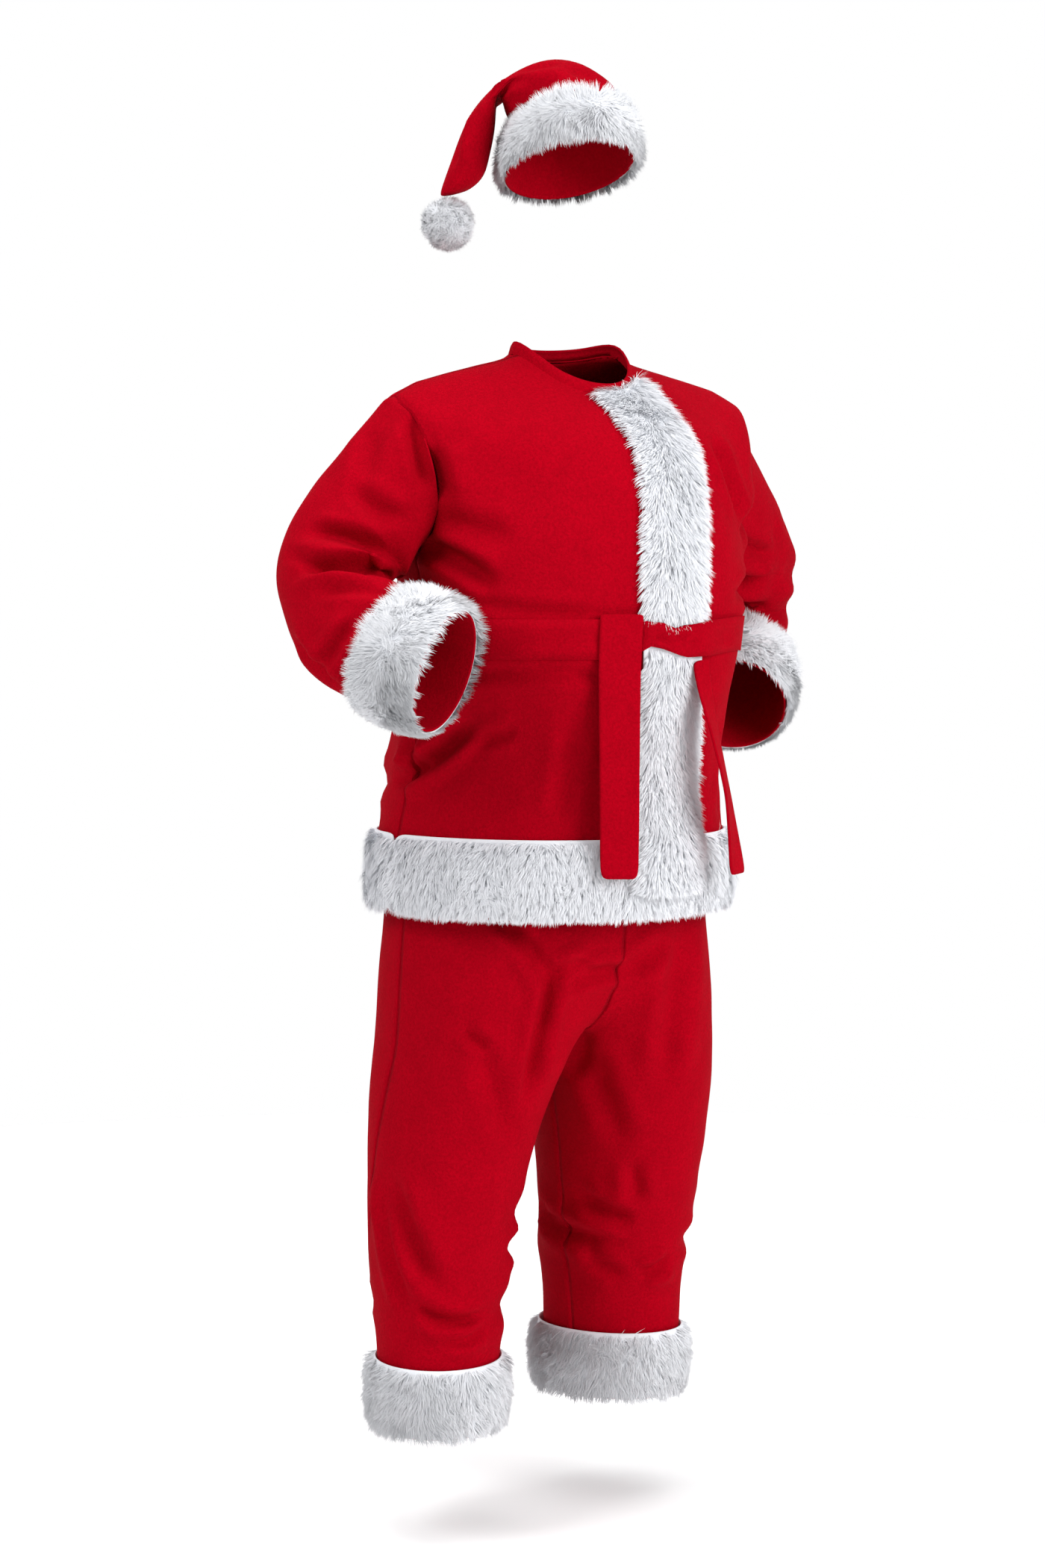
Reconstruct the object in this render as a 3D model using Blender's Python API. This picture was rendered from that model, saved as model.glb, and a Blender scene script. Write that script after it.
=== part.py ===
"""Santa suit: a fleece jacket with faux fur trim and a tie belt, baggy trousers with fur
at the ankles, and a pointed hat whose end hangs down to a pompom. All of it is hollow and
stands as it does when it is worn. Metres, +Z up, front towards -Y, wearer's left at +X."""

import math

import bmesh
import bpy
import numpy as np
from mathutils import Vector

# Heights below are measured from the floor that the wearer stands on. The part hangs from an
# empty that brings the base of the neck to the origin.
NECK_HEIGHT = 1.475
NECK_FORWARD = 0.055

# Cloth and trim
WALL = 0.002
SEAM = 0.0003
FUR = 0.015
FUR_EDGE = 0.45
BELT_THICK = 0.003
SAME_WAY, LEAST_LEAN = 0.85, 0.72

# Jacket
HEM_FUR_TOP = 0.878
BELT_LOW, BELT_HIGH = 1.095, 1.143
UNDERARM, SHOULDER = 1.220, 1.430
ARMHOLE_HALF, ARMHOLE_ROUND, ARMHOLE_REACH = 0.060, 0.6, 6
BAND_WIDTH = 0.094
BAND_LOW = 0.810
LEFT_EDGE_X = -0.030
OVERLAP_DROP = 0.0036
NECK_SHARE = math.sin(0.2 * math.pi / 2)
NECK_HALF = NECK_SHARE * 0.260
SHOULDER_RISE = 0.05
BINDING_HIGH, BINDING_THICK, BINDING_LEAN = 0.012, 0.003, 0.004

# One row for each level up the jacket. The side point is on the side seam, and from the underarm
# up in the middle of the armhole; round is 1 for a full ellipse; edge_x is the right front's edge.
JACKET_NAMES = (
    "level", "side_x", "side_y", "side_z", "front_y", "front_z", "back_y", "back_z", "round",
    "edge_x",
)
JACKET_ROWS = (
    (0.782, 0.228, 0.000, 0.782, -0.234, 0.782, 0.190, 0.782, 1.0, 0.060),
    (0.878, 0.220, -0.004, 0.878, -0.233, 0.878, 0.186, 0.878, 1.0, 0.063),
    (0.940, 0.211, -0.012, 0.940, -0.232, 0.940, 0.184, 0.940, 1.0, 0.069),
    (1.000, 0.206, -0.024, 1.000, -0.237, 1.000, 0.174, 1.000, 1.0, 0.071),
    (1.050, 0.212, -0.040, 1.050, -0.249, 1.050, 0.162, 1.050, 1.0, 0.067),
    (1.095, 0.219, -0.050, 1.095, -0.259, 1.095, 0.152, 1.095, 1.0, 0.062),
    (1.143, 0.222, -0.056, 1.143, -0.263, 1.143, 0.146, 1.143, 1.0, 0.060),
    (1.220, 0.222, -0.058, 1.220, -0.258, 1.220, 0.141, 1.220, 1.0, 0.064),
    (1.280, 0.226, -0.056, 1.276, -0.243, 1.282, 0.134, 1.282, 0.85, 0.075),
    (1.340, 0.235, -0.054, 1.334, -0.219, 1.342, 0.120, 1.345, 0.7, 0.083),
    (1.390, 0.248, -0.052, 1.386, -0.180, 1.385, 0.088, 1.410, 0.55, 0.079),
    (1.430, 0.260, -0.050, 1.425, -0.140, 1.415, 0.012, 1.463, 0.40, 0.070),
)
ROW_LEVELS = (
    0.782, 0.810, 0.835, 0.860, 0.878, 0.920, 0.965, 1.010, 1.055, 1.095, 1.143, 1.185,
    1.220, 1.245, 1.275, 1.305, 1.335, 1.365, 1.390, 1.412, 1.430,
)

# Soft troughs in the jacket's front and back: place across (-1 right seam, 1 left seam) and up,
# how far the far end lies across and up from there, width and depth.
FOLD_NAMES = ("face", "across", "level", "run_across", "run_up", "width", "depth")
JACKET_FOLDS = (
    (-1, -0.95, 0.935, 0.34, 0.105, 0.020, 0.012),
    (-1, -0.62, 0.900, 0.10, 0.120, 0.020, 0.006),
    (-1, -0.70, 1.250, 0.26, 0.075, 0.022, 0.009),
    (-1, 0.62, 1.240, -0.20, 0.090, 0.022, 0.008),
    (-1, 0.55, 0.900, 0.12, 0.130, 0.020, 0.008),
    (1, -0.62, 0.985, 0.10, -0.010, 0.034, -0.016),
    (1, -0.40, 0.910, -0.08, 0.110, 0.024, 0.008),
    (1, 0.58, 0.905, -0.08, 0.130, 0.024, 0.008),
    (1, -0.55, 1.205, 0.22, 0.080, 0.024, 0.008),
    (1, 0.55, 1.200, -0.20, 0.090, 0.024, 0.007),
)

# How near the folds come to a side seam (in shares of half the width) and to the belt
SEAM_CLEAR, BELT_CLEAR = 0.14, 0.045

# Sleeves: stations along the middle of each sleeve, from the armhole to the cuff
SLEEVE_NAMES = ("x", "y", "z", "radius")
RIGHT_SLEEVE = (
    (-0.238, -0.055, 1.330, 0.100),
    (-0.266, -0.043, 1.284, 0.086),
    (-0.300, -0.030, 1.238, 0.078),
    (-0.325, -0.034, 1.196, 0.075),
    (-0.333, -0.066, 1.152, 0.076),
    (-0.322, -0.122, 1.117, 0.076),
    (-0.3005, -0.164, 1.097, 0.076),
    (-0.276, -0.203, 1.083, 0.076),
)
LEFT_SLEEVE = (
    (0.238, -0.055, 1.330, 0.100),
    (0.269, -0.007, 1.287, 0.089),
    (0.315, 0.037, 1.241, 0.082),
    (0.361, 0.068, 1.203, 0.078),
    (0.372, 0.100, 1.152, 0.077),
    (0.361, 0.083, 1.104, 0.077),
    (0.332, 0.046, 1.062, 0.076),
    (0.299, 0.008, 1.024, 0.076),
)
SLEEVE_ROWS = 21
CUFF_ROWS = 5
SLEEVE_BLEND, SLEEVE_TURN = 0.34, 0.30
# Troughs round the sleeves: share of the length, turn (0 on top, 0.25 in front, 0.5 beneath),
# how far the turn drifts along the sleeve, half the length round, width and depth.
SLEEVE_FOLD_NAMES = ("along", "turn", "slant", "half_round", "width", "depth")
RIGHT_FOLDS = (
    (0.30, 0.36, 0.20, 0.16, 0.030, 0.010),
    (0.45, 0.42, -0.16, 0.20, 0.034, 0.014),
    (0.58, 0.36, 0.10, 0.20, 0.034, 0.016),
    (0.70, 0.52, -0.20, 0.18, 0.030, 0.009),
    (0.52, 0.88, 0.20, 0.14, 0.034, 0.007),
)
LEFT_FOLDS = (
    (0.30, 0.40, -0.20, 0.18, 0.030, 0.007),
    (0.46, 0.38, 0.16, 0.20, 0.034, 0.008),
    (0.60, 0.42, -0.10, 0.20, 0.034, 0.008),
    (0.72, 0.30, 0.20, 0.18, 0.030, 0.006),
    (0.50, 0.84, -0.20, 0.14, 0.034, 0.005),
)

# Belt
BAND_UNDER_BELT = 0.007
TAIL_WIDTH, TAIL_NARROWS, TAIL_LOW = 0.052, 0.006, 0.832
FLAT_TAIL_X, FLAT_TAIL_LIFT, FLAT_TAIL_SAG = -0.0625, 0.0045, 0.0020
FLAT_TAIL_LEVELS = (
    1.149, BELT_HIGH, BELT_LOW, 1.060, 1.020, 0.975, 0.930, 0.885, TAIL_LOW,
)
# The turned end: where it leaves the belt, then its middle line, half width, and which way its
# width runs (0 is across the front, 90 is front to back).
TURNED_TAIL_X, TURNED_TAIL_HALF, TURNED_TAIL_START = 0.050, 0.014, 0.010
TURNED_TAIL_NAMES = ("x", "y", "z", "half", "turn")
TURNED_TAIL_ROWS = (
    (0.051, -0.2650, 1.0700, 0.015, 18.0),
    (0.053, -0.2740, 1.0350, 0.018, 32.0),
    (0.060, -0.2810, 0.9950, 0.022, 46.0),
    (0.071, -0.2835, 0.9450, 0.024, 50.0),
    (0.083, -0.2820, 0.8950, 0.024, 42.0),
    (0.095, -0.2780, TAIL_LOW, 0.024, 34.0),
)

# Trousers: one row for each level up a leg. Up to the crotch the section is a whole ellipse
# round the leg's middle, and above it two ellipses that meet at the centre front and back.
CROTCH, LEG_FUR_TOP = 0.600, 0.225
LEG_NAMES = ("z", "x", "y", "half", "front", "back", "turn")
RIGHT_LEG = (
    (0.137, -0.167, -0.008, 0.077, 0.098, 0.095, 34.0),
    (0.225, -0.165, -0.008, 0.079, 0.100, 0.098, 33.0),
    (0.320, -0.162, -0.004, 0.091, 0.109, 0.112, 26.0),
    (0.460, -0.145, 0.002, 0.101, 0.127, 0.132, 12.0),
    (0.560, -0.124, 0.002, 0.111, 0.148, 0.149, 4.0),
    (0.600, -0.1130, 0.001, 0.1125, 0.156, 0.152, 0.0),
    (0.660, -0.088, 0.000, 0.132, 0.168, 0.163, 0.0),
    (0.720, -0.054, 0.000, 0.161, 0.178, 0.171, 0.0),
    (0.800, -0.020, 0.000, 0.190, 0.184, 0.176, 0.0),
    (0.870, -0.001, 0.000, 0.201, 0.182, 0.1836, 0.0),
    (0.930, -0.001, 0.000, 0.188, 0.172, 0.160, 0.0),
    (0.985, -0.001, 0.000, 0.174, 0.162, 0.142, 0.0),
)
LEFT_LEG = (
    (0.137, 0.124, 0.037, 0.078, 0.102, 0.096, -17.0),
    (0.225, 0.126, 0.036, 0.080, 0.104, 0.098, -17.0),
    (0.320, 0.126, 0.030, 0.090, 0.112, 0.108, -13.0),
    (0.460, 0.124, 0.014, 0.104, 0.130, 0.124, -6.0),
    (0.560, 0.118, 0.004, 0.113, 0.148, 0.142, -2.0),
    (0.600, 0.1130, 0.001, 0.1125, 0.156, 0.152, 0.0),
) + tuple((z, -x, y, half, front, back, 0.0) for z, x, y, half, front, back, _ in RIGHT_LEG[6:])
LEG_LEVELS = (
    0.137, 0.166, 0.196, 0.225, 0.255, 0.290, 0.330, 0.375, 0.430, 0.490, 0.550, 0.600,
    0.630, 0.665, 0.705, 0.755, 0.805, 0.870, 0.930, 0.985,
)
LEG_COLUMNS = 8
# A trouser piece's width, how much of it by each seam has no folds, and where they end on top
PANEL_SPAN, LEG_SEAM_CLEAR, UNDER_JACKET = 0.30, 0.2, 0.86
# Troughs in the legs: side of the leg (-1 front, 1 back), share of the way from the outer seam
# to the inner, height, run across and up, width and depth.
RIGHT_LEG_FOLDS = (
    (-1, 0.30, 0.235, 0.45, -0.030, 0.022, 0.008),
    (-1, 0.55, 0.300, 0.40, 0.060, 0.024, 0.009),
    (-1, 0.35, 0.640, 0.50, 0.075, 0.026, 0.008),
    (1, 0.35, 0.250, 0.40, -0.030, 0.024, 0.009),
    (1, 0.40, 0.420, 0.40, 0.060, 0.028, 0.006),
    (1, 0.45, 0.655, 0.45, 0.070, 0.026, 0.006),
)
LEFT_LEG_FOLDS = (
    (-1, 0.25, 0.225, 0.50, 0.030, 0.022, 0.008),
    (-1, 0.20, 0.330, 0.40, -0.050, 0.024, 0.008),
    (-1, 0.45, 0.625, 0.45, 0.085, 0.026, 0.009),
    (1, 0.30, 0.240, 0.45, 0.035, 0.024, 0.009),
    (1, 0.35, 0.400, 0.45, -0.050, 0.028, 0.009),
    (1, 0.45, 0.665, 0.45, 0.060, 0.026, 0.008),
)
WAIST_BAND = 0.035

# Hat. The brim is an oval round the head, turned with it and higher in front. The cloth then
# goes over the head and falls to one side; its rings are given in the plane of that fall.
HEAD_X, HEAD_Y = 0.0, -0.055
HEAD_TURN = -14.0
BRIM_LOW, BRIM_HIGH, BRIM_RISE, BRIM_TAPER = 1.696, 1.756, 0.30, 0.013
BRIM_HALF_WIDTH, BRIM_HALF_LENGTH, BRIM_FUR = 0.079, 0.096, 0.018
FALL_TURN = 146.0
HAT_SIDES = 20
HAT_NAMES = ("in_side", "in_z", "out_side", "out_z", "half_width")
HAT_ROWS = (
    (0.0795, 1.7620, -0.066, 1.7900, 0.070),
    (0.0815, 1.7740, -0.036, 1.8150, 0.062),
    (0.0840, 1.7810, -0.002, 1.8310, 0.055),
    (0.0862, 1.7835, 0.034, 1.8290, 0.050),
    (0.0885, 1.7825, 0.068, 1.8130, 0.047),
    (0.0902, 1.7765, 0.099, 1.7910, 0.045),
    (0.0905, 1.7640, 0.121, 1.7650, 0.043),
    (0.0915, 1.7400, 0.135, 1.7360, 0.040),
    (0.0980, 1.7120, 0.148, 1.7010, 0.037),
    (0.1030, 1.6880, 0.157, 1.6760, 0.032),
    (0.1200, 1.6710, 0.160, 1.6660, 0.023),
    (0.1400, 1.6650, 0.159, 1.6610, 0.011),
)
# The hat's end is tucked a little way down between the pompom's locks.
POMPOM_SIDE, POMPOM_RADIUS, POMPOM_TUCK = 0.150, 0.023, 0.0008
POMPOM_LOCK, LOCK_GAP, LOCK_TIP = 0.012, 0.0011, 0.45

suit = bpy.data.collections.new("santa_suit")


def clear_scene():
    for item in list(bpy.data.objects):
        bpy.data.objects.remove(item)
    bpy.context.scene.collection.children.link(suit)


def material(name, red, green, blue, roughness):
    """Red, green and blue as linear values."""
    finish = bpy.data.materials.new(name)
    finish.use_nodes = True
    shader = finish.node_tree.nodes["Principled BSDF"]
    shader.inputs["Base Color"].default_value = (red, green, blue, 1.0)
    shader.inputs["Roughness"].default_value = roughness
    shader.inputs["Metallic"].default_value = 0.0
    return finish


def columns_of(names, rows):
    return dict(zip(names, np.array(rows, float).T))


def spline(knots, values, at):
    """Smooth curve through values at the knots. Where values has more axes than the knots, at
    has those axes too, apart from a last one that holds x, y and z."""
    knots = np.asarray(knots, float)
    values = np.asarray(values, float)
    slopes = np.gradient(values, knots, axis=0)
    at = np.clip(np.asarray(at, float), knots[0], knots[-1])
    low = np.clip(np.searchsorted(knots, at, side="right") - 1, 0, len(knots) - 2)
    step = knots[low + 1] - knots[low]
    share = (at - knots[low]) / step
    if values.ndim == 1:
        ends = values[low], values[low + 1], slopes[low], slopes[low + 1]
    elif values.ndim == 2:
        ends = values[low], values[low + 1], slopes[low], slopes[low + 1]
        step, share = step[..., None], share[..., None]
    else:
        place = low[None, ..., None]
        ends = [
            np.take_along_axis(part, place + more, axis=0)[0]
            for part, more in ((values, 0), (values, 1), (slopes, 0), (slopes, 1))
        ]
        step, share = step[..., None], share[..., None]
    square, cube = share**2, share**3
    return (
        (2 * cube - 3 * square + 1) * ends[0]
        + (3 * square - 2 * cube) * ends[1]
        + (cube - 2 * square + share) * step * ends[2]
        + (cube - square) * step * ends[3]
    )


def smooth(share):
    share = np.clip(share, 0.0, 1.0)
    return share * share * (3 - 2 * share)


def unit(vectors):
    return vectors / np.maximum(np.linalg.norm(vectors, axis=-1, keepdims=True), 1e-12)


def trough(across, up, start, run, width):
    """How deep in a trough a place is, from 0 to 1. Places and widths are in the same unit."""
    length = max(math.hypot(*run), 1e-6)
    along = ((across - start[0]) * run[0] + (up - start[1]) * run[1]) / length**2
    aside = ((across - start[0]) * run[1] - (up - start[1]) * run[0]) / length
    ends = smooth((along + 0.25) / 0.5) * smooth((1.25 - along) / 0.5)
    return ends * np.exp(-((aside / width) ** 2))


def normals_of(surface, across, up, outward):
    """Normals by differences along the surface; outward is 1 or -1."""
    step = 1e-3
    along = surface(across + step, up) - surface(across - step, up)
    rise = surface(across, up + step) - surface(across, up - step)
    return outward * unit(np.cross(along, rise))


# ---------------------------------------------------------------- sheets and solids


class Sheet:
    """A stretch of cloth as rows and columns of points with their outward normals. slant says
    which way each face is split, so that a strip made from some of a sheet's points lies on the
    same triangles."""

    def __init__(self, points, normals, closed=False, slant=True):
        self.points = points
        self.normals = normals
        self.closed = closed
        self.slant = np.broadcast_to(slant, points.shape[:2])

    def part(self, rows=slice(None), columns=slice(None)):
        whole = columns == slice(None)
        return Sheet(
            self.points[rows, columns].copy(),
            self.normals[rows, columns].copy(),
            self.closed and whole,
            self.slant[rows, columns],
        )

    def mirrored(self):
        """The columns in reverse; the diagonals of the faces stay where they are."""
        slant = np.roll(~self.slant[:, ::-1], -1, axis=1)
        return Sheet(self.points[:, ::-1].copy(), self.normals[:, ::-1].copy(), slant=slant)

    def edge_places(self):
        rows, columns = self.points.shape[:2]
        for row in range(rows):
            for column in range(columns):
                on_side = not self.closed and column in (0, columns - 1)
                if row in (0, rows - 1) or on_side:
                    yield row, column


def share_edge_normals(sheets):
    """Gives edge points that lie together one normal, long enough to keep the wall's thickness,
    so that the walls of neighbouring pieces end face to face."""
    places = [(sheet, place) for sheet in sheets for place in sheet.edge_places()]
    points = np.array([sheet.points[place] for sheet, place in places])
    normals = np.array([sheet.normals[place] for sheet, place in places])
    for index, (sheet, place) in enumerate(places):
        near = np.linalg.norm(points - points[index], axis=1) < 1e-5
        apart = []
        for normal in normals[near]:
            if all(normal @ other < SAME_WAY for other in apart):
                apart.append(normal)
        middle = unit(np.sum(apart, axis=0))
        lean = max(float((apart @ middle).mean()), LEAST_LEAN)
        sheet.normals[place] = middle / lean


def lay_side_by_side(*sheets):
    """One sheet from several whose rows run on, without the doubled columns between them."""
    points = [sheets[0].points]
    normals = [sheets[0].normals]
    slants = [sheet.slant[:, :-1] for sheet in sheets]
    for sheet in sheets[1:]:
        points.append(sheet.points[:, 1:])
        normals.append(sheet.normals[:, 1:])
    slants.append(sheets[-1].slant[:, -1:])
    return Sheet(
        np.concatenate(points, axis=1),
        np.concatenate(normals, axis=1),
        slant=np.concatenate(slants, axis=1),
    )


def joined_round(*sheets):
    """The same as a closed ring: the last column is the first one again and is dropped."""
    sheet = lay_side_by_side(*sheets)
    return Sheet(sheet.points[:, :-1], sheet.normals[:, :-1], True, sheet.slant[:, :-1])


def pull_back(grid, closed):
    """Moves the outermost points half a seam's gap into the piece."""
    back = SEAM / 2
    grid = grid.copy()
    for edge, inner in ((0, 1), (-1, -2)):
        grid[edge] += back * unit(grid[inner] - grid[edge])
    if not closed:
        for edge, inner in ((0, 1), (-1, -2)):
            grid[:, edge] += back * unit(grid[:, inner] - grid[:, edge])
    return grid


def solid(name, outside, inside, closed, finish, slant=True):
    """A closed solid between two grids of points: the two faces of a piece and its cut edges."""
    outside = pull_back(outside, closed)
    inside = pull_back(inside, closed)
    rows, columns = outside.shape[:2]
    slant = np.broadcast_to(slant, (rows, columns))
    shape = bmesh.new()
    skins = []
    for grid in (outside, inside):
        skins.append([[shape.verts.new(point) for point in row] for row in grid])
    turns = columns if closed else columns - 1
    for row in range(rows - 1):
        for column in range(turns):
            after = (column + 1) % columns
            for skin, turn in zip(skins, (1, -1)):
                corners = [
                    skin[row][column], skin[row][after],
                    skin[row + 1][after], skin[row + 1][column],
                ]
                if not slant[row][column]:
                    corners = corners[1:] + corners[:1]
                shape.faces.new((corners[0], corners[1], corners[2])[::turn])
                shape.faces.new((corners[0], corners[2], corners[3])[::turn])
    for row in (0, rows - 1):
        for column in range(turns):
            after = (column + 1) % columns
            shape.faces.new((
                skins[0][row][column], skins[1][row][column],
                skins[1][row][after], skins[0][row][after],
            ))
    if not closed:
        for column in (0, columns - 1):
            for row in range(rows - 1):
                shape.faces.new((
                    skins[0][row][column], skins[0][row + 1][column],
                    skins[1][row + 1][column], skins[1][row][column],
                ))
    bmesh.ops.recalc_face_normals(shape, faces=shape.faces)
    return add_object(name, shape, finish)


def add_object(name, shape, finish):
    mesh = bpy.data.meshes.new(name)
    shape.to_mesh(mesh)
    shape.free()
    mesh.shade_smooth()
    mesh.set_sharp_from_angle(angle=math.radians(50))
    item = bpy.data.objects.new(name, mesh)
    item.parent = hanging_point
    mesh.materials.append(finish)
    suit.objects.link(item)
    return item


def cloth(name, sheet, lift=0.0):
    outside = sheet.points + sheet.normals * lift
    inside = sheet.points + sheet.normals * (lift - WALL)
    return solid(name, outside, inside, sheet.closed, red_fleece, sheet.slant)


def trim(name, sheet, low, thickness, finish, round_ends=(True, True)):
    """A strip that lies on a sheet: low is how far its back is above the cloth and thickness
    its height at the middle; both are numbers or arrays with the sheet's rows and columns."""
    rows, columns = sheet.points.shape[:2]
    up = np.linspace(-1, 1, rows)[:, None]
    across = np.linspace(-1, 1, columns)[None, :]
    shape = np.ones((rows, columns))
    if round_ends[0]:
        shape *= FUR_EDGE + (1 - FUR_EDGE) * (1 - up**4)
    if round_ends[1]:
        shape *= FUR_EDGE + (1 - FUR_EDGE) * (1 - across**4)
    low = np.broadcast_to(low, (rows, columns))[..., None]
    top = low + (shape * thickness)[..., None]
    outside = sheet.points + sheet.normals * top
    inside = sheet.points + sheet.normals * low
    return solid(name, outside, inside, sheet.closed, finish, sheet.slant)


# ---------------------------------------------------------------- jacket

jacket = columns_of(JACKET_NAMES, JACKET_ROWS)


def jacket_surface(face):
    """Point on the front (-1) or back (1), from -1 to 1 across it and at a level up it."""
    side_y = jacket["side_y"]
    mid_y = jacket["front_y" if face < 0 else "back_y"]
    mid_z = jacket["front_z" if face < 0 else "back_z"]

    def place(across, level):
        across, level = np.broadcast_arrays(across, level)
        wide = np.sin(across * math.pi / 2)
        deep = np.cos(across * math.pi / 2)
        rings = []
        for row in range(len(JACKET_ROWS) - 1):
            bulge = jacket["round"][row] * deep + (1 - jacket["round"][row]) * (1 - wide**2)
            bulge_z = 1 - wide**2
            rings.append(np.stack([
                jacket["side_x"][row] * wide,
                side_y[row] + (mid_y[row] - side_y[row]) * bulge,
                jacket["side_z"][row] + (mid_z[row] - jacket["side_z"][row]) * bulge_z,
            ], axis=-1))
        rings.append(jacket_top(wide, side_y[-1], mid_y[-1], mid_z[-1]))
        points = spline(jacket["level"], rings, level)
        up_armhole = np.clip((level - UNDERARM) / (SHOULDER - UNDERARM), 0, 1)
        opening = ARMHOLE_HALF * np.sin(math.pi * up_armhole) ** ARMHOLE_ROUND
        points[..., 1] += face * opening * wide**ARMHOLE_REACH
        return points

    return place


def jacket_top(wide, side_y, mid_y, mid_z):
    """Shoulder seams, and between them the neckline."""
    reach = np.abs(wide)
    out = np.clip((reach - NECK_SHARE) / (1 - NECK_SHARE), 0, 1)
    dip = np.sqrt(np.clip(1 - (reach / NECK_SHARE) ** 2, 0, 1))
    neck_z = jacket["side_z"][-1] + SHOULDER_RISE
    y = side_y + (mid_y - side_y) * dip
    z = neck_z - SHOULDER_RISE * out + (mid_z - neck_z) * dip
    return np.stack([jacket["side_x"][-1] * wide, y, z], axis=-1)


def share_for_x(x, levels):
    """How far across a level a distance from the middle is."""
    return np.arcsin(x / spline(jacket["level"], jacket["side_x"], levels)) * 2 / math.pi


def jacket_sheet(face, across):
    """across holds one row of places for each of ROW_LEVELS."""
    levels = np.array(ROW_LEVELS)[:, None] + 0 * across
    surface = jacket_surface(face)
    points, normals = surface(across, levels), normals_of(surface, across, levels, -face)
    depth = np.zeros_like(across)
    for fold in JACKET_FOLDS:
        row = dict(zip(FOLD_NAMES, fold))
        if row["face"] == face:
            half = jacket["side_x"][0]
            start = row["across"] * half, row["level"]
            run = row["run_across"] * half, row["run_up"]
            depth += row["depth"] * trough(across * half, levels, start, run, row["width"])
    seams = smooth((1 - np.abs(across)) / SEAM_CLEAR)
    seams = seams * smooth((levels - HEM_FUR_TOP + 0.02) / 0.05)
    from_belt = (levels - (BELT_LOW + BELT_HIGH) / 2) / BELT_CLEAR
    belt = 1 - np.exp(-(from_belt**2))
    return Sheet(points - normals * (depth * seams * belt)[..., None], normals)


levels_column = np.array(ROW_LEVELS)
edge_x = spline(jacket["level"], jacket["edge_x"], levels_column)
band_columns = [share_for_x(edge_x - BAND_WIDTH * (4 - k) / 4, levels_column) for k in range(5)]
half_across = np.concatenate([np.arange(0, 5) / 20, np.arange(3, 11) / 10])
half_across = np.unique(np.round(np.append(half_across, 0.2), 3))


def right_front_sheet():
    """From the right side seam to the front edge, whose last five columns carry the band."""
    outer = [np.full(len(ROW_LEVELS), -place) for place in half_across[::-1] if place > 0.12]
    between = [outer[-1] + (band_columns[0] - outer[-1]) * share for share in (0.35, 0.70)]
    return jacket_sheet(-1, np.stack([*outer, *between, *band_columns], axis=1))


def left_front_sheet():
    """From its own front edge, beneath the right front, to the left side seam. It lies lower
    where the right front covers it."""
    start = np.full(len(ROW_LEVELS), float(share_for_x(LEFT_EDGE_X, levels_column[:1])[0]))
    edge = band_columns[-1]
    by_neck = smooth((levels_column - 1.365) / 0.047)
    near = [
        edge + (0.4 - edge) * share + (fixed - edge - (0.4 - edge) * share) * by_neck
        for share, fixed in ((0.36, 0.2), (0.70, 0.3))
    ]
    first = [start, start + (edge - start) * 0.55, edge]
    outer = [np.full(len(ROW_LEVELS), place) for place in half_across if place > 0.35]
    sheet = jacket_sheet(-1, np.stack([*first, *near, *outer], axis=1))
    covered = np.array([1, 1, 1, 0.6, 0.2] + [0] * len(outer))
    free_top = 1 - smooth((levels_column - 1.405) / 0.025)
    drop = np.where(covered[None, :] >= 1, covered[None, :], covered[None, :] * free_top[:, None])
    sheet.points -= sheet.normals * (OVERLAP_DROP * drop)[..., None]
    return sheet


def back_sheet():
    """From the left side seam to the right one, seen from behind from left to right."""
    across = np.concatenate([-half_across[::-1], half_across[1:]])
    return jacket_sheet(1, np.tile(across, (len(ROW_LEVELS), 1)))


def armhole_loop(side, front, back):
    """The armhole's points from the shoulder down the front and up the back."""
    rows = list(range(ROW_LEVELS.index(UNDERARM), len(ROW_LEVELS)))
    column = 0 if side < 0 else -1
    down = [front.points[row, column] for row in reversed(rows)]
    up = [back.points[row, column] for row in rows[1:-1]]
    return np.array(down + up)


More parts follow.
